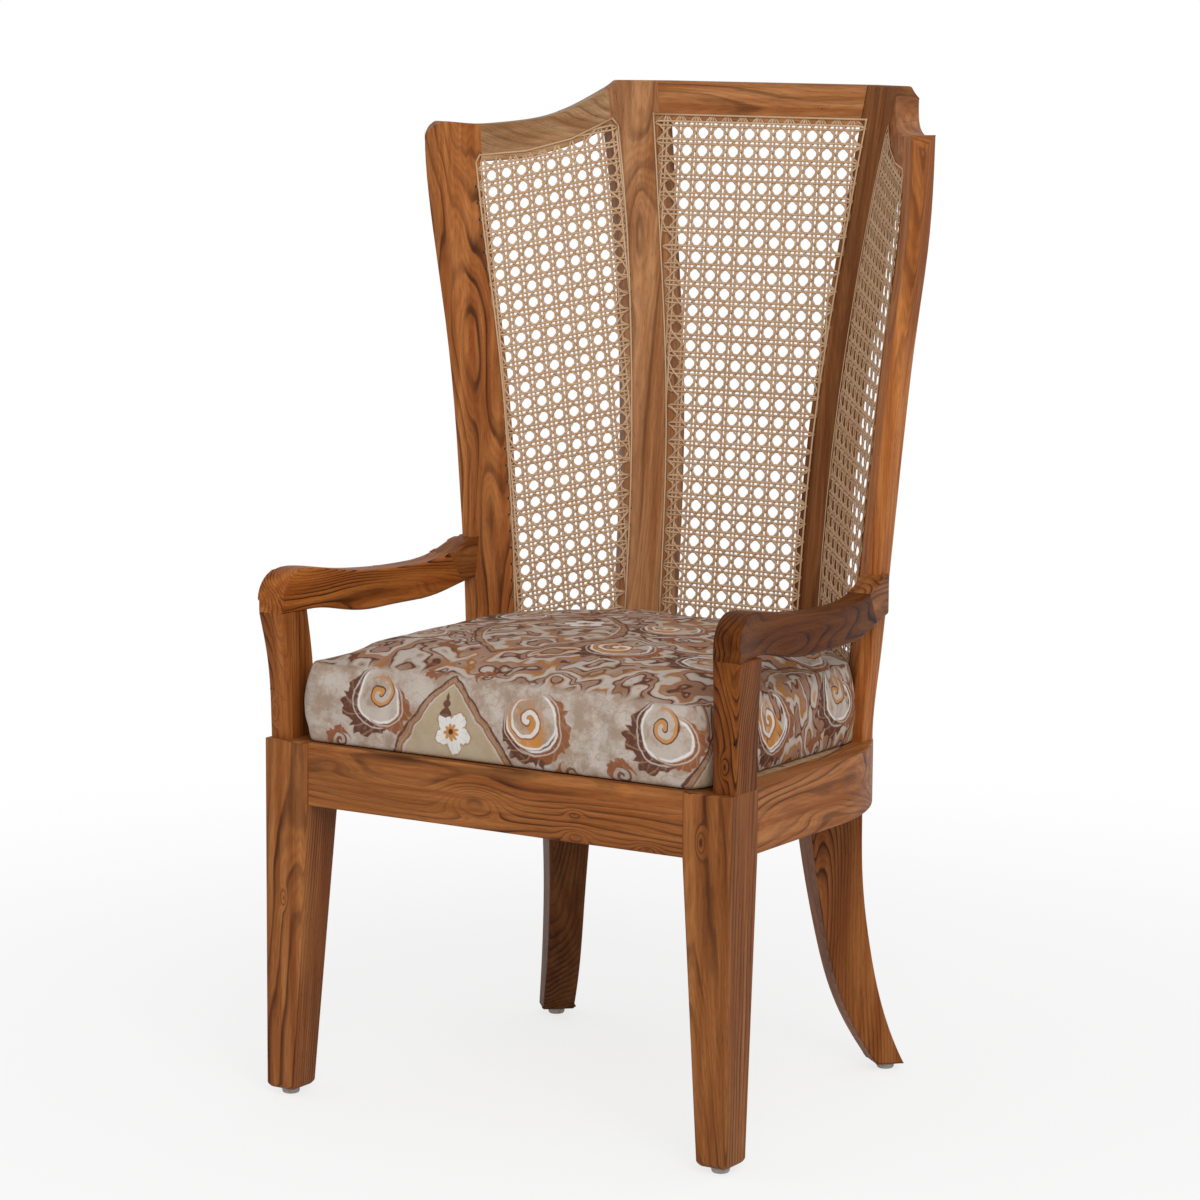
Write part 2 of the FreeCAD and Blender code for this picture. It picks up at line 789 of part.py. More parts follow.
def arm_side_profile():
    """the arm seen from the side, with its rounded nose"""
    reach = arm_length()
    top = [Vector(0, s * reach, arm_top - arm_top_dip * d) for s, d in arm_top_shares]
    under = [Vector(0, s * reach, arm_under - arm_under_dip * d) for s, d in arm_under_shares]
    nose_low = Vector(0, 0, arm_under)
    nose = Vector(0, 0, arm_top - arm_nose_round)
    nose_top = Vector(0, arm_nose_round, arm_top)
    nose_mid = Vector(0, arm_nose_round * 0.293, arm_top - arm_nose_round * 0.293)
    edges = [line(nose_low, nose), Part.Arc(nose, nose_mid, nose_top).toShape(), line(nose_top, top[0])]
    edges += [spline(top), line(top[-1], under[-1]), spline(under[::-1]), line(under[0], nose_low)]
    face = Part.Face(Part.Wire(edges))
    return face.extrude(Vector(seat_width, 0, 0))


def arm_edge(x, flare, toe, shares):
    """one long edge of the arm seen from above"""
    return [Vector(x + flare * f - toe * t, s * arm_length(), 0) for s, f, t in shares]


def arm_plan():
    """the arm seen from above"""
    outer = arm_edge(arm_outer, arm_flare_out, arm_toe_out, arm_outer_shares)
    inner = arm_edge(arm_outer - arm_wide, arm_flare_in, arm_toe_in, arm_inner_shares)
    edges = [spline(outer), line(outer[-1], inner[-1]), spline(inner[::-1]), line(inner[0], outer[0])]
    return Part.Face(Part.Wire(edges)).extrude(Vector(0, 0, back_top))


def whole_arm(post):
    reach = arm_length()
    arm = arm_side_profile().common(arm_plan())
    arm = arm.common(block(0, seat_width, -overrun, reach + arm_side_lap, 0, back_top))
    return arm.cut(post)


def arm_heel_room():
    """all that lies behind the slanted joint near the back end of the arm"""
    low = Vector(0, arm_joint_back + arm_joint_slant * 1.6, arm_under - arm_under_dip * 2)
    high = Vector(0, arm_joint_back - arm_joint_slant * 0.7, arm_top + arm_top_dip)
    back = Vector(0, seat_width, 0)
    ring = [low, high, high + back, low + back]
    return Part.Face(polygon(ring)).extrude(Vector(seat_width, 0, 0))


def arm_and_heel(post):
    arm = whole_arm(post)
    heel = arm.common(arm_heel_room())
    return largest(arm.cut(arm_heel_room())), largest(heel)


def arm_stump():
    height = arm_under - seat_top
    outer_low = seat_width / 2 - wood_fit
    inner_low = outer_low - stump_wide
    outer_reach = arm_outer + arm_flare_out - outer_low
    inner_reach = arm_outer - arm_wide + arm_flare_in - inner_low
    side_front = [Vector(0, stump_front * (1 - f), seat_top + height * s) for s, f in stump_rise_shares]
    rear = stump_front + stump_deep
    side_rear = []
    for rise, draw in stump_rise_shares:
        side_rear.append(Vector(0, rear - stump_rear_draw * draw, seat_top + height * rise))
    edges = [spline(side_front), line(side_front[-1], side_rear[-1])]
    edges += [spline(side_rear[::-1]), line(side_rear[0], side_front[0])]
    side = Part.Face(Part.Wire(edges)).extrude(Vector(seat_width, 0, 0))
    outer = [Vector(outer_low + outer_reach * f, 0, seat_top + height * s) for s, f in stump_rise_shares]
    inner = [Vector(inner_low + inner_reach * f, 0, seat_top + height * s) for s, f in stump_rise_shares]
    edges = [spline(outer), line(outer[-1], inner[-1]), spline(inner[::-1]), line(inner[0], outer[0])]
    front = Part.Face(Part.Wire(edges))
    front.translate(Vector(0, -overrun, 0))
    return side.common(front.extrude(Vector(0, seat_width, 0)))


def stump_middle():
    outer_low = seat_width / 2 - wood_fit
    return plan(outer_low - stump_wide / 2, stump_front + stump_deep * 0.35, seat_top)


def arm_dowels(grow):
    """dowels through the foot and the head of the stump, and from the heel into the wing post"""
    end = dowel_length / 2 + (dowel_end_gap if grow else 0)
    radius = dowel_radius + grow
    foot = stump_middle()
    up = Vector(0, 0, end)
    head = plan(foot.x + arm_flare_in, foot.y - stump_front * 0.6, arm_under)
    pins = [rod(radius, foot - up, foot + up), rod(radius, head - up, head + up * 0.7)]
    level = (arm_top + arm_under) / 2 - arm_top_dip * 0.3
    face = back_row(back_row_shares[2])["front"]
    start = Vector(face.x + wing_post_front / 2, arm_length() - end * 1.2, level)
    stop = Vector(start.x - dowel_radius / 2, face.y + post_thick * 0.6, level)
    if grow:
        stop.y += dowel_end_gap
    pins.append(rod(radius * 0.8, start, stop))
    return Part.makeCompound(pins)


# Seat board, corner blocks, cleats and screws

def seat_board():
    outline = seat_outline(rail_thick + board_gap)
    board = outline.extrude(Vector(0, 0, board_thick))
    board.translate(Vector(0, 0, seat_top - board_thick))
    reach = leg_square + board_gap
    half = seat_width / 2
    notch = block(half - reach, half, -overrun, reach, 0, seat_top + overrun)
    return board.cut(notch).cut(mirrored(notch))


def block_top():
    return seat_top - board_thick


def corner_block():
    """a three-cornered block that ties the front rail, the leg and the side rail"""
    half = seat_width / 2
    side = half - side_reveal - rail_thick
    front = front_reveal + rail_thick
    inner = half - leg_square
    z = block_top() - block_height
    ring = [plan(side, leg_square, z), plan(side, leg_square + block_reach, z)]
    ring += [plan(inner - block_reach, front, z), plan(inner, front, z), plan(inner, leg_square, z)]
    return Part.Face(polygon(ring)).extrude(Vector(0, 0, block_height))


def side_cleat():
    side = seat_width / 2 - side_reveal - rail_thick
    start = leg_square + block_reach + cleat_wide
    end = bend_start
    return block(side - cleat_wide, side, start, end, block_top() - cleat_height, block_top())


def front_cleat():
    front = front_reveal + rail_thick
    reach = seat_width / 2 - leg_square - block_reach - cleat_wide
    return block(-reach, reach, front, front + cleat_wide, block_top() - cleat_height, block_top())


def rear_cleat():
    rear = back_set + post_thick + rear_overhang - rail_thick
    reach = corner_spread - rear_corner_radius
    return block(-reach, reach, rear - cleat_wide, rear, block_top() - cleat_height, block_top())


def screw(head, way, length, grow):
    """a countersunk wood screw; head is the middle of its head's face"""
    if grow:
        top = Part.makeCylinder(screw_head_radius + grow, screw_head_height, head, way)
    else:
        top = Part.makeCone(screw_head_radius, screw_radius, screw_head_height, head, way)
    shank = Part.makeCylinder(screw_radius + grow, length + grow * 4, head, way)
    return top.fuse(shank)


def board_screws(grow):
    down = Vector(0, 0, -1)
    half = seat_width / 2
    x_block = half - leg_square - block_reach * 0.3
    y_block = leg_square + block_reach * 0.1
    x_side = half - side_reveal - rail_thick - cleat_wide / 2
    y_side = (leg_square + block_reach + bend_start) / 2
    leg = plan(rear_leg_side, rear_leg_set) - outward(turned(rear_turn)) * (rear_leg_depth * 0.27)
    spots = [(x_block, y_block), (x_side, y_side), (leg.x, leg.y)]
    screws = [screw(Vector(x, y, seat_top), down, screw_length, grow) for x, y in spots]
    rear = back_set + post_thick + rear_overhang - rail_thick - cleat_wide / 2
    front = front_reveal + rail_thick + cleat_wide / 2
    screws.append(screw(Vector(corner_spread / 2, rear, seat_top), down, screw_length, grow))
    screws.append(screw(Vector(seat_width / 5, front, seat_top), down, screw_length, grow))
    return Part.makeCompound(screws + [mirrored(s) for s in screws])


def leg_screws(grow):
    """two screws that hold each rear leg to the side rail and the rear quarter rail"""
    way = turned(rear_turn)
    square = outward(way)
    near = plan(rear_leg_side, rear_leg_set, seat_top - rail_height / 2) - square * (rear_leg_depth / 2)
    quarter = way * (rear_leg_wide / 4)
    found = [screw(spot, square, leg_screw_length, grow) for spot in (near - quarter, near + quarter)]
    return Part.makeCompound(found + [mirrored(s) for s in found])


# Cushion

def cushion_plan():
    """the right half of the cushion's outline in plan, from the front to the back"""
    gap = cushion_back_gap
    base = back_rows()[0]
    points = [plan(cushion_half - cushion_corner_cut, cushion_front)]
    points.append(plan(cushion_half, cushion_front + cushion_corner_cut))
    points.append(plan(cushion_half, cushion_side_straight))
    for name in ("wing_outer", "wing_inner"):
        p = base[name] - base["back"] * gap
        points.append(plan(p.x, p.y))
    points.append(plan(base["corner"].x, base["corner"].y - gap))
    return points


def drawn_in(points, middle, amount):
    """each point moved by amount towards the middle"""
    moved = []
    for p in points:
        away = p - middle
        moved.append(middle + away * (1 - amount / away.Length))
    return moved


def cushion_form(shrink):
    """the crowned body of the cushion with its drawn-in sides, made smaller by shrink all round"""
    right = cushion_plan()
    ring = right + [Vector(-p.x, p.y, 0) for p in reversed(right)]
    middle = plan(0, (cushion_front + back_set) / 2)
    low = seat_top + cushion_rest_gap + shrink
    height = cushion_height - 2 * shrink
    rings = []
    for rise, draw in cushion_row_shares:
        points = drawn_in(ring, middle, shrink * 1.4 + cushion_draw * draw)
        rings.append([Vector(p.x, p.y, low + height * rise) for p in points])
    return loft(rings, True)


def cushion_cover():
    return cushion_form(0).cut(cushion_form(cover_thick))


def cushion_core():
    return cushion_form(cover_thick + core_gap)


# Assembly

def build():
    pieces = {}

    def pair(name, shape):
        pieces[name + "_right"] = shape
        pieces[name + "_left"] = mirrored(shape)

    front, side, quarter, rear = seat_rails()
    above = wing_above(wing_top_line())
    corner = corner_post().cut(above)
    wing = wing_post().cut(above)
    both_corners = corner.fuse(mirrored(corner))
    corner_tenon = corner_foot_tenon(0)
    wing_tenon = wing_foot_tenon(0)
    sockets = corner_foot_tenon(wood_fit).fuse(wing_foot_tenon(wood_fit))
    both_sockets = sockets.fuse(mirrored(sockets))
    bores = arm_dowels(dowel_fit)
    screw_holes = leg_screws(dowel_fit)
    board_holes = board_screws(dowel_fit)

    front = front.fuse(front_tenon(0)).fuse(mirrored(front_tenon(0)))
    pieces["front_rail"] = front
    side = side.fuse(side_tenon(0))
    pair("side_rail", side.cut(sockets).cut(screw_holes))
    pair("rear_quarter_rail", quarter.cut(sockets).cut(screw_holes))
    pieces["rear_rail"] = rear.cut(both_sockets)

    foot = front_foot()
    pair("front_leg", front_leg().cut(bores).cut(glide_nail(foot, dowel_fit)))
    heel_foot = rear_foot()
    leg = rear_leg().cut(screw_holes).cut(glide_nail(heel_foot, dowel_fit)).cut(board_holes)
    pair("rear_leg", leg)
    nails = []
    for name, spot in (("front_glide", foot), ("rear_glide", heel_foot)):
        pair(name, glide(spot).cut(glide_nail(spot, dowel_fit)))
        nails += [glide_nail(spot, 0), mirrored(glide_nail(spot, 0))]
    pieces["glide_nails"] = Part.makeCompound(nails)

    pair("corner_post", corner.fuse(corner_tenon))
    pair("wing_post", wing.fuse(wing_tenon).cut(bores))
    pieces["top_rail"] = centre_rail(centre_cane_top - hole_margin, back_top, both_corners)
    low_top = cane_foot + hole_margin
    pieces["back_lower_rail"] = centre_rail(low_top - lower_rail_height, low_top, both_corners)
    pair("wing_top_rail", wing_top_rail())
    pair("wing_lower_rail", wing_lower_rail())

    arm, arm_heel = arm_and_heel(wing)
    pair("arm", arm.cut(bores))
    pair("arm_heel", arm_heel.cut(bores))
    pair("arm_stump", arm_stump().cut(bores))
    pins = arm_dowels(0)
    pieces["arm_dowels"] = Part.makeCompound([pins, mirrored(pins)])

    pieces["cane_centre"] = centre_net()
    pair("cane_wing", wing_net())
    pieces["binder_centre"] = centre_binder()
    pair("binder_wing", wing_binder())

    pieces["seat_board"] = seat_board().cut(board_holes).cut(both_sockets)
    pair("corner_block", corner_block().cut(board_holes))
    pair("side_cleat", side_cleat().cut(board_holes))
    pieces["front_cleat"] = front_cleat().cut(board_holes)
    pieces["rear_cleat"] = rear_cleat().cut(board_holes)
    pieces["board_screws"] = board_screws(0)
    pieces["leg_screws"] = leg_screws(0)

    pieces["cushion_cover"] = cushion_cover()
    pieces["cushion_core"] = cushion_core()
    return pieces


def write(pieces):
    whole = FreeCAD.BoundBox()
    for shape in pieces.values():
        whole.add(shape.optimalBoundingBox(False))
    shift = Vector(-whole.Center.x, -whole.Center.y, -whole.ZMin)
    print("size", whole.XLength, whole.YLength, whole.ZLength, "shift", shift)
    for name, shape in pieces.items():
        shape.translate(shift)
        print(name, len(shape.Solids), shape.isValid(), round(shape.Volume / 1000, 1))
        shape.exportStep("parts/" + name + ".step")


write(build())
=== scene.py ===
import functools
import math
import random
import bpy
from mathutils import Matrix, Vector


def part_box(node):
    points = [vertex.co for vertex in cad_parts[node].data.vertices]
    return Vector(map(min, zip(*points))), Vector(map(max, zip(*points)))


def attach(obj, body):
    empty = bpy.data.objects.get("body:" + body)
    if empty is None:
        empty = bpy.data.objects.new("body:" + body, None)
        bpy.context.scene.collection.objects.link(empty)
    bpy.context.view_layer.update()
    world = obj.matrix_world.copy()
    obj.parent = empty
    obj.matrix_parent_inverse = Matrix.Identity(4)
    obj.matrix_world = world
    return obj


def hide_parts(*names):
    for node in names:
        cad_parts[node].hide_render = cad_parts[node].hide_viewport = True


bl_info = {
    "name": "Cane Wing Armchair",
    "version": (1, 0, 0),
    "blender": (4, 5, 0),
    "location": "View3D > Sidebar > Armchair",
    "description": "Dresses the armchair: rounded teak, woven cane, a stuffed cushion and a plain stage",
    "category": "Object",
}

import bmesh
import bpy
import numpy as np
from bpy.props import FloatProperty, FloatVectorProperty, IntProperty, PointerProperty
from mathutils import Matrix, Vector
from mathutils.bvhtree import BVHTree

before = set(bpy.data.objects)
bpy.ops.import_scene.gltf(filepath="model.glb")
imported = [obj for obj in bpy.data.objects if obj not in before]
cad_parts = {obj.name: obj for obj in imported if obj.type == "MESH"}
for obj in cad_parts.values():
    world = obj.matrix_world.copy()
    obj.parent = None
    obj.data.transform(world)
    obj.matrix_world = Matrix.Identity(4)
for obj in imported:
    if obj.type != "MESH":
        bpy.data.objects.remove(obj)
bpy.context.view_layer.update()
CUSHION_LOW, CUSHION_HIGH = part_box("cushion_cover")
CHAIR_BODY = "frame"
CUSHION_BODY = "cushion"
UP = Vector((0, 0, 1))
AWAY = Vector((0, 1, 0))
RIGHT = Vector((1, 0, 0))
# an edge nearer than this to another piece of wood is part of a joint, and stays sharp
JOINT_NEAR = 0.0006
# where the woven sheet and the strands' tips lie behind the panel's face
SHEET_MIDDLE = -0.0008
TIP_LEVEL = -0.0019
# edges that turn more than the first are rounded, if they aren't short, and those that still turn more than
# the second shade as creases
ROUND_FROM = math.radians(20)
CREASE_FROM = math.radians(38)
SHORT_EDGE = 0.0028
# corners nearer than this are one corner
CORNER_MERGE = 0.00004
FINE_MERGE = 0.00002


def length_setting(name, description, default):
    return FloatProperty(name=name, description=description, default=default, unit="LENGTH")


def angle_setting(name, description, default):
    return FloatProperty(
        name=name, description=description, default=default, subtype="ANGLE", unit="ROTATION")


def power_setting(name, description, default):
    return FloatProperty(name=name, description=description, default=default, unit="POWER")


def colour_setting(name, description, default):
    return FloatVectorProperty(name=name, description=description, default=default, subtype="COLOR")


class TeakSettings(bpy.types.PropertyGroup):
    edge_round: length_setting("Edge round", "Radius of the sanded edges", 0.0022)
    ring_spacing: length_setting("Ring spacing", "Distance between the growth rings", 0.0038)
    ring_wander: length_setting("Ring wander", "How far the rings wander from round", 0.011)
    pale: colour_setting("Early wood", "Colour between the rings", (0.46, 0.175, 0.050))
    warm: colour_setting("Warm wood", "Colour of the warmer streaks", (0.285, 0.083, 0.017))
    dark: colour_setting("Late wood", "Colour of the ring lines", (0.045, 0.011, 0.003))


class CaneSettings(bpy.types.PropertyGroup):
    strand_wide: length_setting("Strand width", "Width of the paired strands", 0.0026)
    slant_wide: length_setting("Slant width", "Width of the slanted strands", 0.0026)
    strand_thick: length_setting("Strand thickness", "Thickness of one cane strand", 0.0005)
    pair_gap: length_setting("Pair spacing", "Distance between the two strands of a pair", 0.0048)
    weave_height: length_setting("Weave height", "How far a slanted strand rises and dips", 0.0008)
    centre_across: length_setting("Centre spacing across", "Hole spacing across the centre panel", 0.020)
    centre_up: length_setting("Centre spacing up", "Hole spacing up the centre panel", 0.0198)
    wing_across: length_setting("Wing spacing across", "Hole spacing across a wing panel", 0.0177)
    wing_up: length_setting("Wing spacing up", "Hole spacing up a wing panel", 0.0184)
    margin: length_setting("Fan margin", "How far inside the holes the strands spread out", 0.0085)
    wing_rise: angle_setting("Wing row rise", "Slope of the rows of a wing panel", 0.164)
    binder_wide: length_setting("Binder width", "Width of the strip over the holes", 0.0024)
    straw: colour_setting("Cane", "Colour of the cane", (0.54, 0.320, 0.165))
    straw_pale: colour_setting("Pale cane", "Colour of the paler strands", (0.68, 0.46, 0.28))


class CushionSettings(bpy.types.PropertyGroup):
    cell: length_setting("Cloth cell", "Cell of the cloth that is blown up", 0.0068)
    seam_height: length_setting("Seam height", "Height of the upper seam over the seat rails", 0.085)
    crown: length_setting("Crown", "Rise of the top over its seam before it is blown up", 0.012)
    corner: length_setting("Corner", "How far the front corners stand out", 0.006)
    spread: length_setting("Foot spread", "How far the foot stands out past the CAD outline", 0.004)
    pressure: FloatProperty(
        name="Pressure", description="Pressure inside the cover", default=3.2)
    cap: length_setting("Movement cap", "Farthest that a point may move", 0.014)
    frames: IntProperty(
        name="Frames", description="Frames that the cloth is run for", default=20)


class ClothSettings(bpy.types.PropertyGroup):
    repeat_across: length_setting("Repeat across", "Width of the printed repeat", 0.35)
    repeat_up: length_setting("Repeat up", "Height of the printed repeat", 0.30)
    ground: colour_setting("Ground", "Colour of the cloth's ground", (0.375, 0.270, 0.200))
    chalk: colour_setting("Chalk", "Colour of the pale strokes", (0.545, 0.470, 0.410))
    white: colour_setting("White", "Colour of the petals", (0.76, 0.73, 0.69))
    sand: colour_setting("Sand", "Colour of the stipple and the band", (0.33, 0.180, 0.085))
    khaki: colour_setting("Khaki", "Colour of the ogee's fill", (0.45, 0.345, 0.215))
    umber: colour_setting("Umber", "Colour of the scrolls", (0.105, 0.027, 0.012))
    rust: colour_setting("Rust", "Colour of the scrolls' shading", (0.27, 0.085, 0.028))
    ochre: colour_setting("Ochre", "Colour of the accents", (0.55, 0.225, 0.040))


class StageSettings(bpy.types.PropertyGroup):
    azimuth: angle_setting("Azimuth", "Camera's turn round the chair", math.radians(32.23))
    elevation: angle_setting("Elevation", "Camera's height angle", math.radians(8.65))
    roll: angle_setting("Roll", "Camera's tilt to the side", math.radians(0.4))
    place: FloatVectorProperty(
        name="Camera place", description="Where the camera stands", subtype="TRANSLATION", unit="LENGTH",
        default=(2.2797, -3.6879, 1.1872))
    lens: FloatProperty(
        name="Lens", description="Focal length", default=121.78, subtype="DISTANCE_CAMERA")
    key_power: power_setting("Key light", "Power of the main lamp", 84.0)
    fill_power: power_setting("Fill light", "Power of the lamp on the left", 3.0)
    sky: FloatProperty(
        name="Sky", description="Strength of the light from all round", default=0.62)


# how much of a colour's green goes with its blue when it is made redder
GREEN_LOSS = 0.30
VARNISH_ROUGHNESS = 0.34
VARNISH_SPECULAR = 0.13
GRAIN_DEPTH = 0.00014
# A knot is its place along and across a board, its size and the darkness of its heart. One with a heart
# crowds the rings and one without, a swirl, only bows them: how long each is for its width, and how far it
# pushes the rings for its size.
KNOT = (2.3, 1.9)
SWIRL = (4.2, 0.75)
# how dark the wood is from one ring to the next
RING_STOPS = (
    (0.0, (0.30,) * 3), (0.06, (0.02,) * 3), (0.42, (0.05,) * 3), (0.70, (0.42,) * 3), (0.85, (1.0,) * 3),
    (0.95, (1.0,) * 3), (1.0, (0.30,) * 3),
)


class Field:
    """A number that varies over a surface, with the operators that the materials use."""

    def __init__(self, shader, socket):
        self.shader = shader
        self.socket = socket

    def maths(self, operation, *others):
        return self.shader.add("ShaderNodeMath", {"operation": operation}, [self, *others])

    def __add__(self, other):
        return self.maths("ADD", other)

    __radd__ = __add__

    def __sub__(self, other):
        return self.maths("SUBTRACT", other)

    def __rsub__(self, other):
        return self.shader.add("ShaderNodeMath", {"operation": "SUBTRACT"}, [other, self])

    def __mul__(self, other):
        return self.maths("MULTIPLY", other)

    __rmul__ = __mul__

    def __truediv__(self, other):
        return self.maths("DIVIDE", other)

    def __abs__(self):
        return self.maths("ABSOLUTE")

    def smooth(self, low, high):
        """0 under low, 1 over high and soft between; low may be the larger one"""
        settings = {"interpolation_type": "SMOOTHSTEP"}
        sockets = {"Value": self, "From Min": low, "From Max": high}
        return self.shader.add("ShaderNodeMapRange", settings, sockets)


class Shader:
    """A material and the one method that adds nodes to it."""

    def __init__(self, name):
        self.material = bpy.data.materials.new(name)
        self.material.use_nodes = True
        self.tree = self.material.node_tree
        self.tree.nodes.clear()

    def add(self, kind, settings=None, sockets=None, output=0):
        """adds a node, with its settings made first, then the values or links of its sockets"""
        node = self.tree.nodes.new(kind)
        for name, value in (settings or {}).items():
            if name == "stops":
                self.set_stops(node.color_ramp, value)
            else:
                setattr(node, name, value)
        pairs = enumerate(sockets) if isinstance(sockets, (list, tuple)) else (sockets or {}).items()
        for key, value in pairs:
            self.feed(node.inputs[key], value)
        return Field(self, node.outputs[output]) if node.outputs else None

    def set_stops(self, ramp, stops):
        while len(ramp.elements) < len(stops):
            ramp.elements.new(1.0)
        for element, (place, colour) in zip(ramp.elements, stops):
            element.position = place
            element.color = colour if len(colour) == 4 else (*colour, 1.0)

    def feed(self, socket, value):
        if isinstance(value, Field):
            self.tree.links.new(value.socket, socket)
        elif hasattr(value, "__len__") and len(value) == 3 and socket.type == "RGBA":
            socket.default_value = (*value, 1.0)
        else:
            socket.default_value = value

    def mix(self, share, first, second):
        """a colour between two, by share"""
        settings = {"data_type": "RGBA"}
        return self.add("ShaderNodeMix", settings, {0: share, 6: first, 7: second}, output=2)

    def noise(self, place, scale, detail=2.0, rough=0.5):
        sockets = {"Vector": place, "Scale": scale, "Detail": detail, "Roughness": rough}
        return self.add("ShaderNodeTexNoise", {}, sockets)

    def place(self):
        """where a point lies, in the piece's own coordinates"""
        return self.add("ShaderNodeTexCoord", output=3)

    def split(self, vector):
        node = self.add("ShaderNodeSeparateXYZ", {}, [vector]).socket.node
        return [Field(self, part) for part in node.outputs]

    def join(self, x, y, z):
        return self.add("ShaderNodeCombineXYZ", {}, [x, y, z])

    def finish(self, sockets, height=None, depth=0.001):
        """adds the surface shader and the output, with a bump if there is a height"""
        if height is not None:
            bump = {"Strength": 1.0, "Distance": depth, "Height": height}
            sockets["Normal"] = self.add("ShaderNodeBump", {}, bump)
        surface = self.add("ShaderNodeBsdfPrincipled", {}, sockets)
        self.add("ShaderNodeOutputMaterial", {}, {"Surface": surface})
        return self.material


def toned(colour, tone, redness):
    """a colour made lighter or darker, and redder or greyer"""
    shares = (1.0, 1.0 - redness * GREEN_LOSS, 1.0 - redness)
    return tuple(part * (1.0 + tone) * share for part, share in zip(colour, shares))


def ring_distance(s, place, axes, middle, heart, knots, tilt, wander):
    """how far a point is from the tree's heart, bent by noise and knots, and how near a knot's eye it is"""
    look = bpy.context.scene.armchair_teak
    turn = axes.to_euler()
    own = s.add("ShaderNodeMapping", {}, {"Vector": place, "Rotation": turn, "Location": -middle})
    moved = s.add("ShaderNodeMapping", {}, {"Vector": place, "Rotation": turn, "Location": heart - middle})
    x, y, z = s.split(moved)
    knot_x, knot_y, _ = s.split(own)
    wide = s.noise(s.join(x * 1.8, y * 9.0, z * 9.0), 1.0, 2.0, 0.5)
    curl = s.noise(s.join(x * 4.5, y * 26.0, z * 26.0), 1.0, 2.0, 0.5)
    fine = s.noise(s.join(x * 16.0, y * 90.0, z * 90.0), 1.0, 3.0, 0.5)
    reach = (y * y + z * z).maths("SQRT")
    drift = look.ring_wander * wander
    reach = reach + (wide - 0.5) * (drift * 5.5) + (curl - 0.5) * drift
    reach = reach + (fine - 0.5) * 0.0016 + x * tilt
    eye = 0.0
    for along_at, across_at, size, depth in knots:
        longer, swell = KNOT if depth else SWIRL
        a = (knot_x - along_at) / (size * longer)
        b = (knot_y - across_at) / size
        far = (a * a + b * b).maths("SQRT")
        reach = reach + (far * far * -1.0).maths("EXPONENT") * (size * swell)
        eye = far.smooth(0.50, 0.05) * depth + eye
    return (x, y, z), reach, fine, eye


def teak(
        node, along, face, seed, knots=(), tilt=0.02, tone=0.0, redness=0.0, spacing=1.0, wander=1.0,
        figure=1.0):
    """varnished teak for one node: its grain runs along one direction, and its rings show on a face"""
    look = bpy.context.scene.armchair_teak
    s = Shader("teak_" + node)
    pale, warm, dark = (toned(colour, tone, redness) for colour in (look.pale, look.warm, look.dark))
    along = Vector(along).normalized()
    across = Vector(face).cross(along).normalized()
    axes = Matrix((along, across, along.cross(across)))
    low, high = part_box(node)
    draw = random.Random(seed)
    heart = Vector((
        draw.uniform(-3, 3), draw.choice((-1, 1)) * draw.uniform(0.012, 0.03), draw.uniform(0.03, 0.05)))
    middle = axes @ ((low + high) / 2)
    (x, y, z), reach, fine, eye = ring_distance(s, s.place(), axes, middle, heart, knots, tilt, wander)

    phase = reach / (look.ring_spacing * spacing)
    lines = s.add("ShaderNodeValToRGB", {"stops": RING_STOPS}, [phase.maths("FRACT")])
    hair = ((phase * 3.3 + fine * 2.0).maths("FRACT") - 0.5) * 2.0
    strength = s.noise(s.join(x * 4.0, y * 30.0, z * 30.0), 1.0, 2.0).smooth(0.32, 0.68)
    streak = s.noise(s.join(x * 3.0, y * 85.0, z * 85.0), 1.0, 3.0, 0.6)
    band = s.noise(s.join(x * 1.6, y * 21.0, z * 21.0), 1.0, 2.0).smooth(0.42, 0.72)
    pores = s.noise(s.join(x * 55.0, y * 1400.0, z * 1400.0), 1.0, 1.0).smooth(0.58, 0.74)

    wood = s.mix(streak.smooth(0.3, 0.7), pale, warm)
    wood = s.mix(band * (0.50 + 0.12 * figure), wood, toned(warm, -0.45, 0.1))
    wood = s.mix(abs(hair) * 0.22, wood, dark)
    wood = s.mix((strength * (0.72 * figure) + 0.16 * figure) * lines, wood, dark)
    wood = s.mix(pores * 0.34, wood, dark)
    if knots:
        wood = s.mix(eye, wood, dark)
    rough = streak * 0.12 + pores * 0.15 + VARNISH_ROUGHNESS
    surface = {"Base Color": wood, "Roughness": rough, "Specular IOR Level": VARNISH_SPECULAR}
    return s.finish(surface, lines * -0.3 + pores * -1.0, GRAIN_DEPTH)


def plain_wood(name, colour, dark, along, layered=False):
    """unvarnished wood of the hidden pieces, with layers at the edges if it is plywood"""
    s = Shader(name)
    x, y, z = s.split(s.place())
    stretch = [8.0 if component else 120.0 for component in along]
    grain = s.noise(s.join(x * stretch[0], y * stretch[1], z * stretch[2]), 1.0, 4.0, 0.6)
    wood = s.mix(grain.smooth(0.35, 0.75), colour, dark)
    if layered:
        ply = (z / 0.003).maths("FRACT")
        wood = s.mix((ply - 0.5).smooth(0.0, 0.1) * 0.25, wood, dark)
    return s.finish({"Base Color": wood, "Roughness": 0.65 + grain * 0.1}, grain, 0.0002)


CANE_FLECK = (0.30, 0.16, 0.07)
# painted shade along the edges of each strand, where its crown turns away from the light, partly the darker
# cut edge of the cane
CANE_EDGE_SHADE = (0.19, 0.085, 0.034)


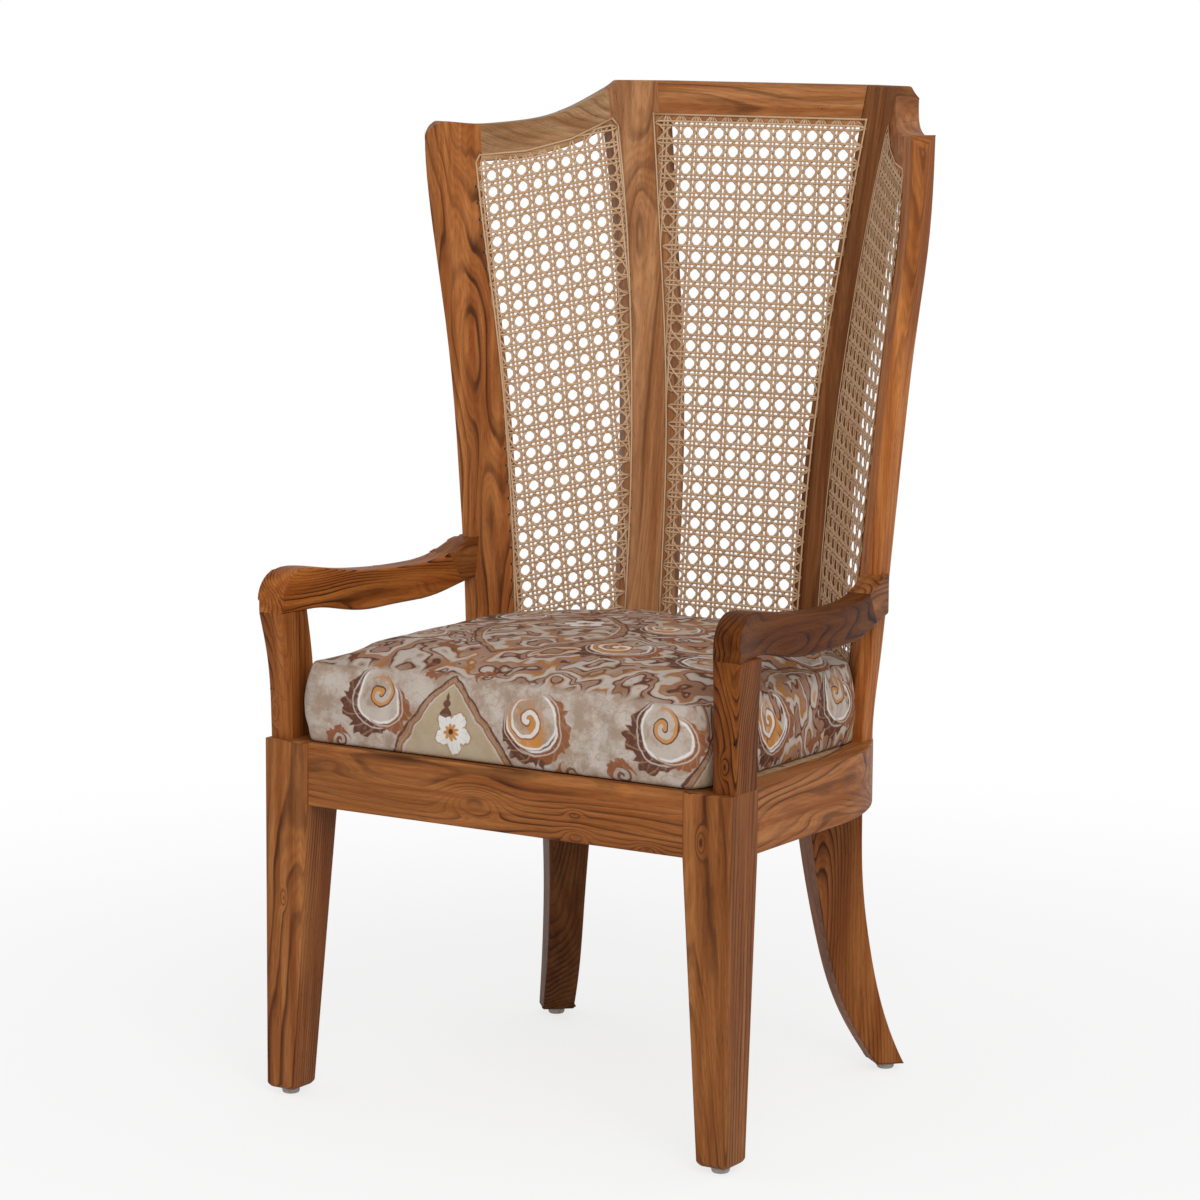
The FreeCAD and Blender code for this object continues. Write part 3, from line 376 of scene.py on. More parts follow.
def cane_finish():
    """split cane: straw-coloured strands, each with its own tone, glossy on the bark side and darker towards
    their edges as painted shade of each strand's crown, partly the darker cut edge
    """
    look = bpy.context.scene.armchair_cane
    s = Shader("cane_straw")
    tone = s.add("ShaderNodeAttribute", {"attribute_name": "strand_tone"}, output=2)
    place = s.place()
    patch = s.noise(place, 90.0, 2.0)
    fleck = s.noise(place, 900.0, 2.0)
    straw = s.mix(tone * 0.75 + patch * 0.25, look.straw, look.straw_pale)
    side = s.add("ShaderNodeAttribute", {"attribute_name": "strand_side"}, output=2)
    straw = s.mix(fleck.smooth(0.62, 0.78) * 0.5, straw, CANE_FLECK)
    # painted shade: the strand darkens towards its edges, standing in for the shade of its rounded crown
    straw = s.mix(side.smooth(0.55, 1.0) * 0.62, straw, CANE_EDGE_SHADE)
    return s.finish({"Base Color": straw, "Roughness": 0.42 + fleck * 0.2}, fleck, 0.00008)


def hole_shade_finish():
    """painted shade for the inside of a drilled hole: a near-black disc with a faint mottle"""
    s = Shader("painted_hole_shade")
    shade_mottle = s.noise(s.place(), 600.0)
    dark = s.mix(shade_mottle, (0.035, 0.013, 0.007), (0.012, 0.005, 0.003))
    return s.finish({"Base Color": dark, "Roughness": 0.8})


def glide_finish():
    """scuffed pale plastic"""
    s = Shader("glide_nylon")
    scuff = s.noise(s.place(), 260.0, 4.0, 0.7)
    grey = s.mix(scuff.smooth(0.45, 0.75), (0.50, 0.47, 0.43), (0.28, 0.24, 0.20))
    return s.finish({"Base Color": grey, "Roughness": 0.5 + scuff * 0.25}, scuff, 0.0003)


def steel_finish():
    """bright steel of the screws and nails"""
    s = Shader("screw_steel")
    turned = s.noise(s.place(), 700.0, 3.0)
    grey = s.mix(turned, (0.42, 0.41, 0.40), (0.60, 0.59, 0.57))
    return s.finish({"Base Color": grey, "Roughness": 0.3 + turned * 0.2, "Metallic": 1.0})


class Print:
    """The motifs of the printed cotton, laid over one another on a tile of cloth."""

    def __init__(self, shader, look, u, v, brush, plain):
        self.s = shader
        self.look = look
        self.u = u
        self.v = v
        self.brush = brush
        self.plain = plain
        self.cloth = None

    def lay(self, share, colour):
        self.cloth = self.s.mix(share, self.cloth, colour)

    def polar(self, at):
        """distance and direction from a place on the tile"""
        du = self.u - at[0]
        dv = self.v - at[1]
        return (du * du + dv * dv).maths("SQRT"), dv.maths("ARCTAN2", du)

    def crescent(self, at, radius, thick, lean, teeth, tone, fine=True):
        """a scroll's stroke, thick on the side that it leans to, leafy outside and with a pale line inside"""
        r, turn = self.polar(at)
        share = (turn - lean).maths("COSINE")
        body = share.smooth(-0.65, 0.95)
        leafy = share.smooth(0.20, 0.85)
        lobes = abs((turn * (teeth * 0.5) + r * 60.0).maths("SINE"))
        barbs = (turn * (teeth * 3.0 / math.tau) + r * 70.0).maths("FRACT")
        fringe = (lobes * 0.75 + barbs * 0.55) * leafy * thick
        outer = (r - fringe - radius).smooth(0.0009, -0.0007)
        inside = radius - r - body * thick
        inner = inside.smooth(0.0010, -0.0006)
        stroke = outer * inner * body.smooth(0.01, 0.10)
        self.lay(stroke * (self.brush.smooth(0.25, 0.5) * 0.30 + 0.66), tone)
        if fine:
            pale = (abs(inside - 0.0020) - 0.0011).smooth(0.0008, -0.0006) * body.smooth(0.1, 0.4)
            self.lay(pale * 0.9, self.look.white)
            slits = abs((turn * teeth + r * 170.0).maths("SINE")).smooth(0.34, 0.10)
            self.lay(slits * stroke * leafy * 0.75, self.look.sand)
            vein = (abs(inside + body * (thick * 0.50)) - 0.0007).smooth(0.0007, -0.0003)
            self.lay(vein * stroke * 0.8, self.look.chalk)

    def disc(self, at, radius, colour, share):
        r, turn = self.polar(at)
        streaks = (self.brush * 1.4 + (r * 160.0 + turn).maths("SINE") * 0.25).smooth(0.25, 0.95)
        self.lay((r - radius).smooth(0.005, -0.008) * streaks * share, colour)

    def spiral(self, at, radius, way, turns, phase, colour, rim):
        """a wound stroke that thins outwards, with a dark rim on one side"""
        r, turn = self.polar(at)
        wind = (r * (turns / radius) - turn * (way / math.tau) + phase).maths("FRACT")
        body = (r - radius).smooth(0.0012, -0.0010)
        duty = 0.56 - r * (0.28 / radius)
        stroke = (wind - duty).smooth(0.05, -0.04) * wind.smooth(0.0, 0.05) * body
        edge = (abs(wind - duty) - 0.060).smooth(0.04, -0.02) * body
        self.lay(stroke * (self.brush * 0.4 + 0.65), colour)
        self.lay(edge * 0.9, rim)

    def ogee(self, half, low, tall):
        """a pointed oval of khaki with a stippled double band"""
        rise = abs(self.v - low) / tall
        arch = (1.0 - rise.maths("POWER", 1.7)) * half
        edge = arch - abs(self.u)
        look = self.look
        self.lay(edge.smooth(0.010, 0.0125) * self.plain * 0.80, look.khaki)
        band = edge.smooth(-0.0010, 0.0006) * edge.smooth(0.0095, 0.0082)
        self.lay(band * 0.72, look.sand)
        tile = self.s.join(self.u, self.v, 0.0)
        dots = self.s.add("ShaderNodeTexVoronoi", {}, {"Vector": tile, "Scale": 190.0})
        self.lay(band * dots.smooth(0.30, 0.20) * 0.7, look.rust)
        lines = (
            (0.0, 0.0016, 0.92, look.umber), (0.0036, 0.0005, 0.5, look.rust),
            (0.0088, 0.0011, 0.80, look.rust), (0.0112, 0.0011, 0.85, look.chalk),
        )
        for at, wide, share, colour in lines:
            line = (abs(edge - at) - wide).smooth(0.0007, -0.0004)
            self.lay(line * share * (self.brush.smooth(0.2, 0.55) * 0.5 + 0.5), colour)

    def flower(self, at, size):
        """a ragged pale flower with an ochre heart and a few dark leaves over it"""
        r, turn = self.polar(at)
        petals = abs((turn * 2.5 + 0.6).maths("COSINE")) * (size * 0.34) + size * 0.62
        petals = petals + (self.brush - 0.5) * (size * 0.35)
        self.lay((r - petals - 0.0016).smooth(0.0010, -0.0006) * 0.45, self.look.rust)
        self.lay((r - petals).smooth(0.0007, -0.0007) * 0.97, self.look.white)
        veins = abs((turn * 7.5).maths("SINE")).smooth(0.22, 0.0) * r.smooth(size * 0.35, size * 0.7)
        self.lay((r - petals).smooth(0.0, -0.002) * veins * 0.4, self.look.ground)
        ragged = abs((turn * 4.5).maths("SINE")) * (size * 0.18) + size * 0.24
        self.lay((r - ragged).smooth(0.0008, -0.0008) * 0.95, self.look.ochre)
        self.lay((r - size * 0.13).smooth(0.0008, -0.0008), self.look.umber)

    def leaf(self, at, tall, wide, lobes):
        """an upright lobed leaf"""
        share = (self.v - at[1]) / tall
        side = abs(self.u - at[0])
        body = (share * -1.0 + 1.0).maths("MAXIMUM", 0.0) * share.smooth(0.0, 0.1)
        edge = body * wide * (abs((share * (math.pi * lobes)).maths("SINE")) * 0.7 + 0.4)
        self.lay((side - edge).smooth(0.0008, -0.0006) * body.smooth(0.0, 0.05) * 0.9, self.look.umber)


# places and sizes of the motifs on the tile; the curls have a way of winding too
OCHRE_SCROLLS = (((-0.094, 0.054), 0.034), ((-0.126, -0.088), 0.032))
WHITE_SCROLLS = (((0.100, 0.047), 0.035), ((0.118, -0.082), 0.038))
CURLS = (
    ((-0.140, 0.006), 0.015, 1.0), ((0.146, 0.000), 0.016, -1.0), ((-0.026, 0.096), 0.012, -1.0),
    ((0.034, 0.092), 0.012, 1.0), ((-0.050, -0.128), 0.018, -1.0),
)
TILE_SHIFT = 0.052
STROKE_BANDS = 7.0
# height of the printed stitch line on the cloth of the sides, and the pitch of the threads
STITCH_LINE = 0.0865
THREAD_PITCH = 0.0011


def crowded_strokes(cotton, u, v, warped_u, warped_v, top, beside):
    """the dense strokes over the top and the sides of the cushion"""
    s, look = cotton.s, cotton.look
    dark = s.mix(cotton.brush.smooth(0.45, 0.75), look.umber, look.rust)
    patch = s.noise(s.join(u * 7.0, v * 7.0, 7.1), 1.0, 2.0).smooth(0.36, 0.50)
    for where, across, along in ((top, 17.0, 15.0), (beside * (1 - top), 24.0, 13.0)):
        flow = s.noise(s.join(warped_u * across, warped_v * along, 2.7), 1.0, 2.0, 0.5)
        swirl = abs((flow * STROKE_BANDS).maths("FRACT") - 0.5) * 2.0
        cotton.lay(swirl.smooth(0.52, 0.66) * patch * where * 0.60, look.rust)
        cotton.lay((abs(swirl - 0.58) - 0.12).smooth(0.05, -0.03) * where * 0.97, dark)
        cotton.lay(swirl.smooth(0.34, 0.18) * where * 0.90, look.chalk)
        glow = (flow * (STROKE_BANDS * 0.7) + 0.3).maths("FRACT").smooth(0.84, 0.95)
        cotton.lay(glow * patch * where * 0.7, look.ochre)


def motifs(cotton):
    """the ogee with its flower, the scrolls and the curls"""
    look = cotton.look
    cotton.ogee(0.082, -0.030, 0.118)
    cotton.flower((0.004, 0.030), 0.023)
    cotton.leaf((-0.004, 0.044), 0.026, 0.007, 3.0)
    for at, size in OCHRE_SCROLLS:
        cotton.disc(at, size, look.chalk, 0.75)
        cotton.crescent(at, size, size * 0.30, 3.75, 7.0, look.umber)
        beside = (at[0] + size * 0.40, at[1] - size * 0.15)
        cotton.crescent(beside, size * 0.72, size * 0.20, -0.45, 6.0, look.rust)
        heart = (at[0] + size * 0.10, at[1] + size * 0.22)
        cotton.spiral(heart, size * 0.52, 1.0, 1.3, 0.1, look.ochre, look.umber)
    for at, size in WHITE_SCROLLS:
        cotton.disc((at[0] - size * 0.15, at[1] - size * 0.05), size * 0.80, look.ochre, 0.95)
        cotton.crescent(at, size, size * 0.26, 4.65, 7.0, look.umber)
        cotton.crescent((at[0] + size * 0.25, at[1]), size * 0.95, size * 0.22, 5.95, 6.0, look.rust)
        heart = (at[0] - size * 0.10, at[1] + size * 0.14)
        cotton.spiral(heart, size * 0.60, -1.0, 1.3, 0.45, look.white, look.rust)
    for at, size, way in CURLS:
        cotton.crescent(at, size, size * 0.36, 2.2 * way, 5.0, look.rust, False)
        cotton.spiral(at, size * 0.66, way, 1.1, 0.3, look.umber, look.rust)


def printed_cotton():
    """cotton with a printed ogee, leafy scrolls and a flower, laid out for this cushion"""
    look = bpy.context.scene.armchair_cloth
    s = Shader("printed_cotton")
    flat = s.add("ShaderNodeUVMap", {"uv_map": "cloth"})
    wobble = s.add("ShaderNodeTexNoise", {}, {"Vector": flat, "Scale": 55.0, "Detail": 4.0}, output=1)
    sway = s.add("ShaderNodeTexNoise", {}, {"Vector": flat, "Scale": 13.0, "Detail": 2.0}, output=1)
    wobble_u, wobble_v, _ = s.split(wobble)
    sway_u, sway_v, _ = s.split(sway)
    u, v, _ = s.split(flat)
    warped_u = u + (wobble_u - 0.5) * 0.0075 + (sway_u - 0.5) * 0.012
    warped_v = v + (wobble_v - 0.5) * 0.0075 + (sway_v - 0.5) * 0.012
    mottle = s.noise(flat, 26.0, 5.0, 0.68)
    stipple = s.noise(flat, 460.0, 2.0, 0.6)
    brush = s.noise(s.join(warped_u * 210.0, warped_v * 110.0, 0.0), 1.0, 3.0)
    tile_u = (((warped_u + TILE_SHIFT) / look.repeat_across + 0.5).maths("FRACT") - 0.5) * look.repeat_across
    tile_v = ((warped_v / look.repeat_up + 0.5).maths("FRACT") - 0.5) * look.repeat_up
    top = v.smooth(0.082, 0.100)
    beside = abs(u).smooth(0.236, 0.250)
    dense = top.maths("MAXIMUM", beside)

    cotton = Print(s, look, tile_u, tile_v, brush, 1 - top * 0.9)
    cotton.cloth = s.mix(mottle.smooth(0.40, 0.60), look.ground, look.chalk)
    cotton.lay(stipple.smooth(0.55, 0.68) * 0.30, look.sand)
    cotton.lay(dense * 0.24, look.sand)
    crowded_strokes(cotton, u, v, warped_u, warped_v, top, beside)
    faint = s.noise(s.join(warped_u * 24.0, warped_v * 24.0, 5.3), 1.0, 2.0)
    veins = (abs((faint * 7.0).maths("FRACT") - 0.5) - 0.03).smooth(0.03, -0.01) * (1 - dense)
    cotton.lay(veins * 0.35, look.sand)
    motifs(cotton)

    threads = (u * (math.tau / THREAD_PITCH)).maths("SINE") * (v * (math.tau / THREAD_PITCH)).maths("SINE")
    stitch = (abs(v - STITCH_LINE) - 0.0008).smooth(0.0006, -0.0002) * beside
    cotton.lay(stipple.smooth(0.60, 0.72) * 0.16, look.chalk)
    cotton.lay(threads.smooth(0.2, 1.0) * 0.10, look.chalk)
    cotton.lay(stitch * 0.55, look.umber)
    surface = {
        "Base Color": cotton.cloth, "Roughness": stipple * 0.08 + 0.86, "Specular IOR Level": 0.16,
        "Sheen Weight": 0.03, "Sheen Roughness": 0.5,
    }
    return s.finish(surface, threads * 0.5 + stipple - stitch * 2.0, 0.00018)


def link(name, mesh, material, body):
    """puts a finished mesh into the scene on its body"""
    piece = bpy.data.objects.new(name, mesh)
    bpy.context.scene.collection.objects.link(piece)
    mesh.materials.clear()
    mesh.materials.append(material)
    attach(piece, body)
    return piece


def to_mesh(name, shape):
    mesh = bpy.data.meshes.new(name)
    shape.to_mesh(mesh)
    shape.free()
    return mesh


def merged(node):
    """a merged copy of a CAD node's mesh, with its flat faces joined up"""
    shape = bmesh.new()
    shape.from_mesh(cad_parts[node].data)
    bmesh.ops.remove_doubles(shape, verts=shape.verts, dist=CORNER_MERGE)
    bmesh.ops.dissolve_limit(shape, angle_limit=math.radians(0.5), verts=shape.verts, edges=shape.edges)
    shape.normal_update()
    return shape


@functools.lru_cache(maxsize=None)
def surface_of(node):
    """a search tree over one CAD node's faces"""
    shape = merged(node)
    tree = BVHTree.FromBMesh(shape)
    shape.free()
    return tree


def is_teak(node):
    words = set(node.split("_"))
    return bool(words & {"rail", "leg", "post", "arm"}) and not words & {"dowels", "screws"}


def meets_another(node, edge):
    """whether an edge lies on the surface of one of the other teak nodes"""
    a, b = (vert.co for vert in edge.verts)
    points = [a.lerp(b, share) for share in (0.2, 0.5, 0.8)]
    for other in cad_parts:
        if other == node or not is_teak(other):
            continue
        if all(surface_of(other).find_nearest(point, JOINT_NEAR)[0] for point in points):
            return True
    return False


def sanded(node, material, width):
    """replaces a wooden node with a copy whose free edges are rounded over"""
    shape = merged(node)
    sharp = []
    for edge in shape.edges:
        if len(edge.link_faces) == 2 and edge.calc_length() > SHORT_EDGE:
            if edge.is_convex and edge.calc_face_angle() > ROUND_FROM and not meets_another(node, edge):
                sharp.append(edge)
    bmesh.ops.bevel(
        shape, geom=sharp, offset=width, offset_type="OFFSET", affect="EDGES", segments=3,
        profile=0.5, material=-1, clamp_overlap=False)
    bmesh.ops.remove_doubles(shape, verts=shape.verts, dist=FINE_MERGE)
    for polygon in shape.faces:
        polygon.smooth = True
    for edge in shape.edges:
        if len(edge.link_faces) == 2 and edge.calc_face_angle() > CREASE_FROM:
            edge.smooth = False
    piece = link(node + "_sanded", to_mesh(node + "_sanded", shape), material, CHAIR_BODY)
    shading = piece.modifiers.new("even_shading", "WEIGHTED_NORMAL")
    shading.keep_sharp = True
    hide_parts(node)
    return piece


def dress(node, along, face, seed, knots=(), rounder=1.0, **grain):
    """rounds a wooden node's edges and gives it a teak of its own"""
    width = bpy.context.scene.armchair_teak.edge_round * rounder
    return sanded(node, teak(node, along, face, seed, knots, **grain), width)


class ARMCHAIR_OT_legs(bpy.types.Operator):
    """Round over the four legs and give each its own teak"""

    bl_idname = "armchair.legs"
    bl_label = "Legs"

    def execute(self, context):
        knot = [(0.142, 0.006, 0.0055, 0.8)]
        speck = [(0.02, 0.004, 0.004, 0.3)]
        calm = {"tilt": 0.012, "spacing": 1.1}
        dress("front_leg_right", UP, -AWAY, 3, knot, tone=-0.14, redness=0.05, wander=0.5, **calm)
        dress("front_leg_left", UP, -AWAY, 8, speck, wander=0.6, **calm)
        # the rear legs are darker as painted shade under the seat, the left one most
        for side, way, seed, tone in (("right", 1, 14, -0.12), ("left", -1, 21, -0.58)):
            dress("rear_leg_" + side, UP, (way * 0.75, 0.66, 0), seed, tone=tone, redness=0.15, wander=0.7)
        return {"FINISHED"}


class ARMCHAIR_OT_seat_rails(bpy.types.Operator):
    """Round over the seat rails and give them flat-sawn teak"""

    bl_idname = "armchair.seat_rails"
    bl_label = "Seat rails"

    def execute(self, context):
        eyes = [
            (-0.020, -0.004, 0.0150, 0.45), (0.103, -0.004, 0.0045, 0.6), (0.105, -0.026, 0.007, 0.3),
            (0.19, -0.030, 0.006, 0.5), (-0.20, 0.014, 0.010, 0.0),
        ]
        swirls = [(-0.13, 0.008, 0.018, 0.0), (-0.03, -0.014, 0.013, 0.0)]
        dress("front_rail", RIGHT, -AWAY, 31, eyes, tilt=0.010, spacing=1.35, figure=1.25)
        for side, way, seed in (("right", 1, 42), ("left", -1, 47)):
            dress(
                "side_rail_" + side, AWAY, RIGHT * way, seed, swirls, tilt=0.03, tone=0.12, redness=-0.1,
                spacing=1.1)
            along, face = (-way * 0.75, 0.66, 0), (way * 0.66, 0.75, 0)
            dress("rear_quarter_rail_" + side, along, face, seed + 10, tone=-0.1)
        dress("rear_rail", RIGHT, AWAY, 63, [(0.05, 0.0, 0.01, 0.3)], tone=-0.1)
        return {"FINISHED"}


# seed, knots and own grain and tone of the corner post, the wing post and the wing's top rail on each side;
# some tones are painted light: the right corner post is darker as painted shade, and the left corner post and
# the left wing's top rail are paler and greyer as a painted sheen
BACK_BOARDS = {
    "right": (
        (71, (), {"tone": -0.30, "redness": -0.1}),
        (83, ((-0.13, 0.0, 0.004, 0.8),), {"tone": 0.40, "wander": 0.5, "figure": 0.6}),
        (97, (), {"tone": 0.15}),
    ),
    "left": (
        (74, ((0.20, 0.004, 0.016, 0.0),), {"tone": 0.22, "redness": -0.9}),
        (88, ((0.21, 0.020, 0.034, 0.0), (0.06, 0.012, 0.022, 0.0), (-0.10, 0.0, 0.018, 0.0)),
         {"tone": 0.20, "wander": 1.1, "figure": 1.1}),
        (103, (), {"tone": 0.42, "redness": -2.2}),
    ),
}


class ARMCHAIR_OT_back_frame(bpy.types.Operator):
    """Round over the posts and rails of the back and the wings"""

    bl_idname = "armchair.back_frame"
    bl_label = "Back frame"

    def execute(self, context):
        calm = {"tilt": 0.012, "wander": 0.6}
        for side, way in (("right", 1), ("left", -1)):
            corner, wing, top = BACK_BOARDS[side]
            seed, knots, own = corner
            along, face = (0, 0.1, 1), (-way * 0.42, -0.9, 0)
            dress("corner_post_" + side, along, face, seed, knots, spacing=1.8, figure=0.6, **calm, **own)
            seed, knots, own = wing
            face = (-way * 0.78, -0.62, 0)
            dress("wing_post_" + side, UP, face, seed, knots, redness=0.05, spacing=1.4, **own)
            seed, knots, own = top
            along, face = (way * 0.7, -0.7, 0), (-way * 0.7, -0.7, 0)
            dress(
                "wing_top_rail_" + side, along, face, seed, knots, tilt=0.012, spacing=1.5, wander=0.5,
                figure=0.5, **own)
            dress("wing_lower_rail_" + side, along, face, seed + 2, tone=-0.1)
        speck = [(0.08, -0.004, 0.003, 0.6)]
        dress("top_rail", RIGHT, -AWAY, 112, speck, tone=0.24, redness=-0.45, spacing=1.5, figure=0.7, **calm)
        dress("back_lower_rail", RIGHT, -AWAY, 118, tone=-0.1)
        return {"FINISHED"}


# how much rounder the edges of the arms are than those of the frame
ARM_ROUNDER = 1.5


class ARMCHAIR_OT_arms(bpy.types.Operator):
    """Round over the arms, their heels and their stumps"""

    bl_idname = "armchair.arms"
    bl_label = "Arms"

    def execute(self, context):
        swirls = [(-0.13, 0.008, 0.030, 0.0), (-0.03, -0.006, 0.020, 0.0), (0.08, 0.006, 0.018, 0.0)]
        specks = [(-0.04, 0.004, 0.005, 0.4), (0.05, -0.006, 0.008, 0.0)]
        # the right arm and its stump are darker and redder as painted shade, on the side away from the light
        sides = (
            ("right", 1, 127, {"tone": -0.62, "redness": 0.95}, {"tone": -0.32, "redness": 0.6}),
            ("left", -1, 139, {"tone": 0.18, "redness": 0.4}, {"redness": 0.25}),
        )
        for side, way, seed, arm, stump in sides:
            out = RIGHT * way
            dress(
                "arm_" + side, AWAY, out, seed, swirls, ARM_ROUNDER, tilt=0.03, spacing=1.2, wander=1.3,
                figure=1.3, **arm)
            dress("arm_heel_" + side, AWAY, out, seed + 5, (), ARM_ROUNDER, tilt=0.05, tone=-0.2, redness=0.1)
            dress(
                "arm_stump_" + side, UP, -AWAY, seed + 9, specks, ARM_ROUNDER, wander=0.9, figure=1.15,
                **stump)
        return {"FINISHED"}


class ARMCHAIR_OT_hidden_wood(bpy.types.Operator):
    """Finish the seat board, the blocks, the cleats and the dowels where they are"""

    bl_idname = "armchair.hidden_wood"
    bl_label = "Hidden wood"

    def execute(self, context):
        plywood = plain_wood("board_plywood", (0.50, 0.33, 0.18), (0.34, 0.20, 0.10), (1, 0, 0), True)
        pine = plain_wood("block_pine", (0.47, 0.30, 0.15), (0.30, 0.17, 0.08), (0, 1, 0))
        beech = plain_wood("dowel_beech", (0.56, 0.39, 0.23), (0.42, 0.27, 0.15), (0, 0, 1))
        paint(plywood, "seat_board")
        paint(beech, "arm_dowels")
        paint(pine, "front_cleat", "rear_cleat", "side_cleat_left", "side_cleat_right")
        paint(pine, "corner_block_left", "corner_block_right")
        return {"FINISHED"}


class ARMCHAIR_OT_fixings(bpy.types.Operator):
    """Turn the four glides and finish the screws and nails"""

    bl_idname = "armchair.fixings"
    bl_label = "Fixings"

    def execute(self, context):
        paint(steel_finish(), "board_screws", "leg_screws", "glide_nails")
        nylon = glide_finish()
        for node in ("front_glide_left", "front_glide_right", "rear_glide_left", "rear_glide_right"):
            turn_glide(node, nylon)
        return {"FINISHED"}


def paint(material, *nodes):
    """gives CAD nodes a better material where they are"""
    for node in nodes:
        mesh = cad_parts[node].data
        mesh.materials.clear()
        mesh.materials.append(material)


# a glide's half section from its middle round its rim: shares of its radius and of its height
GLIDE_SECTION = (
    (0.0, 0.16), (0.35, 0.12), (0.55, 0.0), (0.84, 0.0), (0.93, 0.10), (1.0, 0.34), (1.0, 0.92), (0.96, 1.0),
    (0.0, 1.0),
)


def turn_glide(node, material):
    """a glide turned on a lathe, with a rounded rim and a shallow dish under it"""
    low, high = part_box(node)
    middle = (low + high) / 2
    radius = (high.x - low.x) / 2
    tall = high.z - low.z
    shape = bmesh.new()
    profile = [
        shape.verts.new((middle.x + radius * out, middle.y, low.z + tall * up)) for out, up in GLIDE_SECTION]
    edges = [shape.edges.new(pair) for pair in zip(profile, profile[1:])]
    bmesh.ops.spin(
        shape, geom=profile + edges, cent=(middle.x, middle.y, 0), axis=UP, angle=math.tau,
        steps=36, use_merge=True, use_duplicate=False)
    bmesh.ops.remove_doubles(shape, verts=shape.verts, dist=FINE_MERGE)
    bmesh.ops.recalc_face_normals(shape, faces=shape.faces)
    for polygon in shape.faces:
        polygon.smooth = True
    piece = link(node + "_turned", to_mesh(node + "_turned", shape), material, CHAIR_BODY)
    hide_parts(node)


class Panel:
    """A cane panel's outline and curved surface, read from its CAD net."""

    def __init__(self, node):
        shape = bmesh.new()
        shape.from_mesh(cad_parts[node].data)
        bmesh.ops.remove_doubles(shape, verts=shape.verts, dist=CORNER_MERGE)
        shape.normal_update()
        points = np.array([v.co for v in shape.verts])
        spread = np.linalg.eigh(np.cov(points.T))[1][:, 0]
        facing = Vector((spread[0], spread[1], 0)).normalized()
        self.facing = facing if facing.y < 0 else -facing
        self.across = UP.cross(self.facing)
        front = {f for f in shape.faces if f.normal.dot(self.facing) > 0.7}
        rim = [e for e in shape.edges if sum(f in front for f in e.link_faces) == 1]
        self.outline = self.longest_loop(rim)
        self.fit([v.co for f in front for v in f.verts])
        shape.free()

    def flat(self, point):
        return Vector((point.dot(self.across), point.z))

    def longest_loop(self, edges):
        """the ordered corners of the longest of the loops that the edges make"""
        left = set(edges)
        best = []
        while left:
            edge = left.pop()
            start, here = edge.verts
            loop = [start, here]
            while here is not start:
                nearby = [e for e in here.link_edges if e in left]
                if not nearby:
                    break
                left.discard(nearby[0])
                here = nearby[0].other_vert(here)
                loop.append(here)
            best = max(best, loop, key=self.reach)
        return [self.flat(v.co) for v in best[:-1]]

    def reach(self, loop):
        return sum((a.co - b.co).length for a, b in zip(loop, loop[1:]))

    def terms(self, u, v):
        return [u * 0 + 1, u, v, u * v, v * v, u * v * v, v * v * v, u * v * v * v]

    def fit(self, points):
        """a smooth depth over the panel, least squares through the net's front"""
        u = np.array([p.dot(self.across) for p in points])
        v = np.array([p.z for p in points])
        depth = np.array([p.dot(self.facing) for p in points])
        self.weights = np.linalg.lstsq(np.array(self.terms(u, v)).T, depth, rcond=None)[0]

    def place(self, u, v, height):
        depth = sum(w * t for w, t in zip(self.weights, self.terms(u, v)))
        return self.across * u + UP * v + self.facing * (depth + height)

    def crossings(self, start, way):
        """where a line crosses the outline, as shares of way, with the direction of each side crossed"""
        found = []
        corners = self.outline
        for a, b in zip(corners, corners[1:] + corners[:1]):
            side = b - a
            cross = way.x * side.y - way.y * side.x
            if abs(cross) < 1e-12:
                continue
            gap = a - start
            if 0 <= (gap.x * way.y - gap.y * way.x) / cross < 1:
                found.append(((gap.x * side.y - gap.y * side.x) / cross, side.normalized()))
        return sorted(found, key=lambda crossing: crossing[0])

    def outward(self, spot, side):
        """the direction out of the panel, square to a side"""
        middle = sum(self.outline, Vector((0, 0))) / len(self.outline)
        square = Vector((-side.y, side.x))
        return square if square.dot(spot - middle) > 0 else -square


# a strand's end goes down a hole within this share of a cell, and shorter strands are left out
HOLE_PULL = 0.75
SHORTEST_STRAND = 0.004
# a strand that runs along a side spreads out no farther in than at this sine of their angle
LEAST_SINE = 0.45
HOLE_RADIUS = 0.0016
HOLE_LEVEL = -0.00168
# how far a hole's mouth stands out from under the strip
HOLE_OUT = 0.0009


def strand_layers(shape):
    """a strand's own tone, and how far a point lies from its middle line"""
    return [shape.verts.layers.float.new(name) for name in ("strand_tone", "strand_side")]


def ribbon(shape, layers, panel, path, wide, crown, tone):
    """a flat strand along a path of (u, v, height), with a raised middle"""
    steps = len(path) - 1
    grid = bmesh.ops.create_grid(shape, x_segments=steps, y_segments=2, size=1.0)["verts"]
    for vert in grid:
        at = min(steps, max(0, round((vert.co.x + 1) / 2 * steps)))
        side = vert.co.y
        u, v, height = path[at]
        before = path[max(0, at - 1)]
        after = path[min(steps, at + 1)]
        way = Vector((after[0] - before[0], after[1] - before[1])).normalized()
        rise = crown * (1 - side * side)
        vert.co = panel.place(u - way.y * side * wide / 2, v + way.x * side * wide / 2, height + rise)
        vert[layers[0]] = tone
        vert[layers[1]] = abs(side)


def lattice_count(panel, origin, row, rise):
    reach = max((corner - origin).length for corner in panel.outline)
    return int(reach / min(row.length, rise.length)) + 3


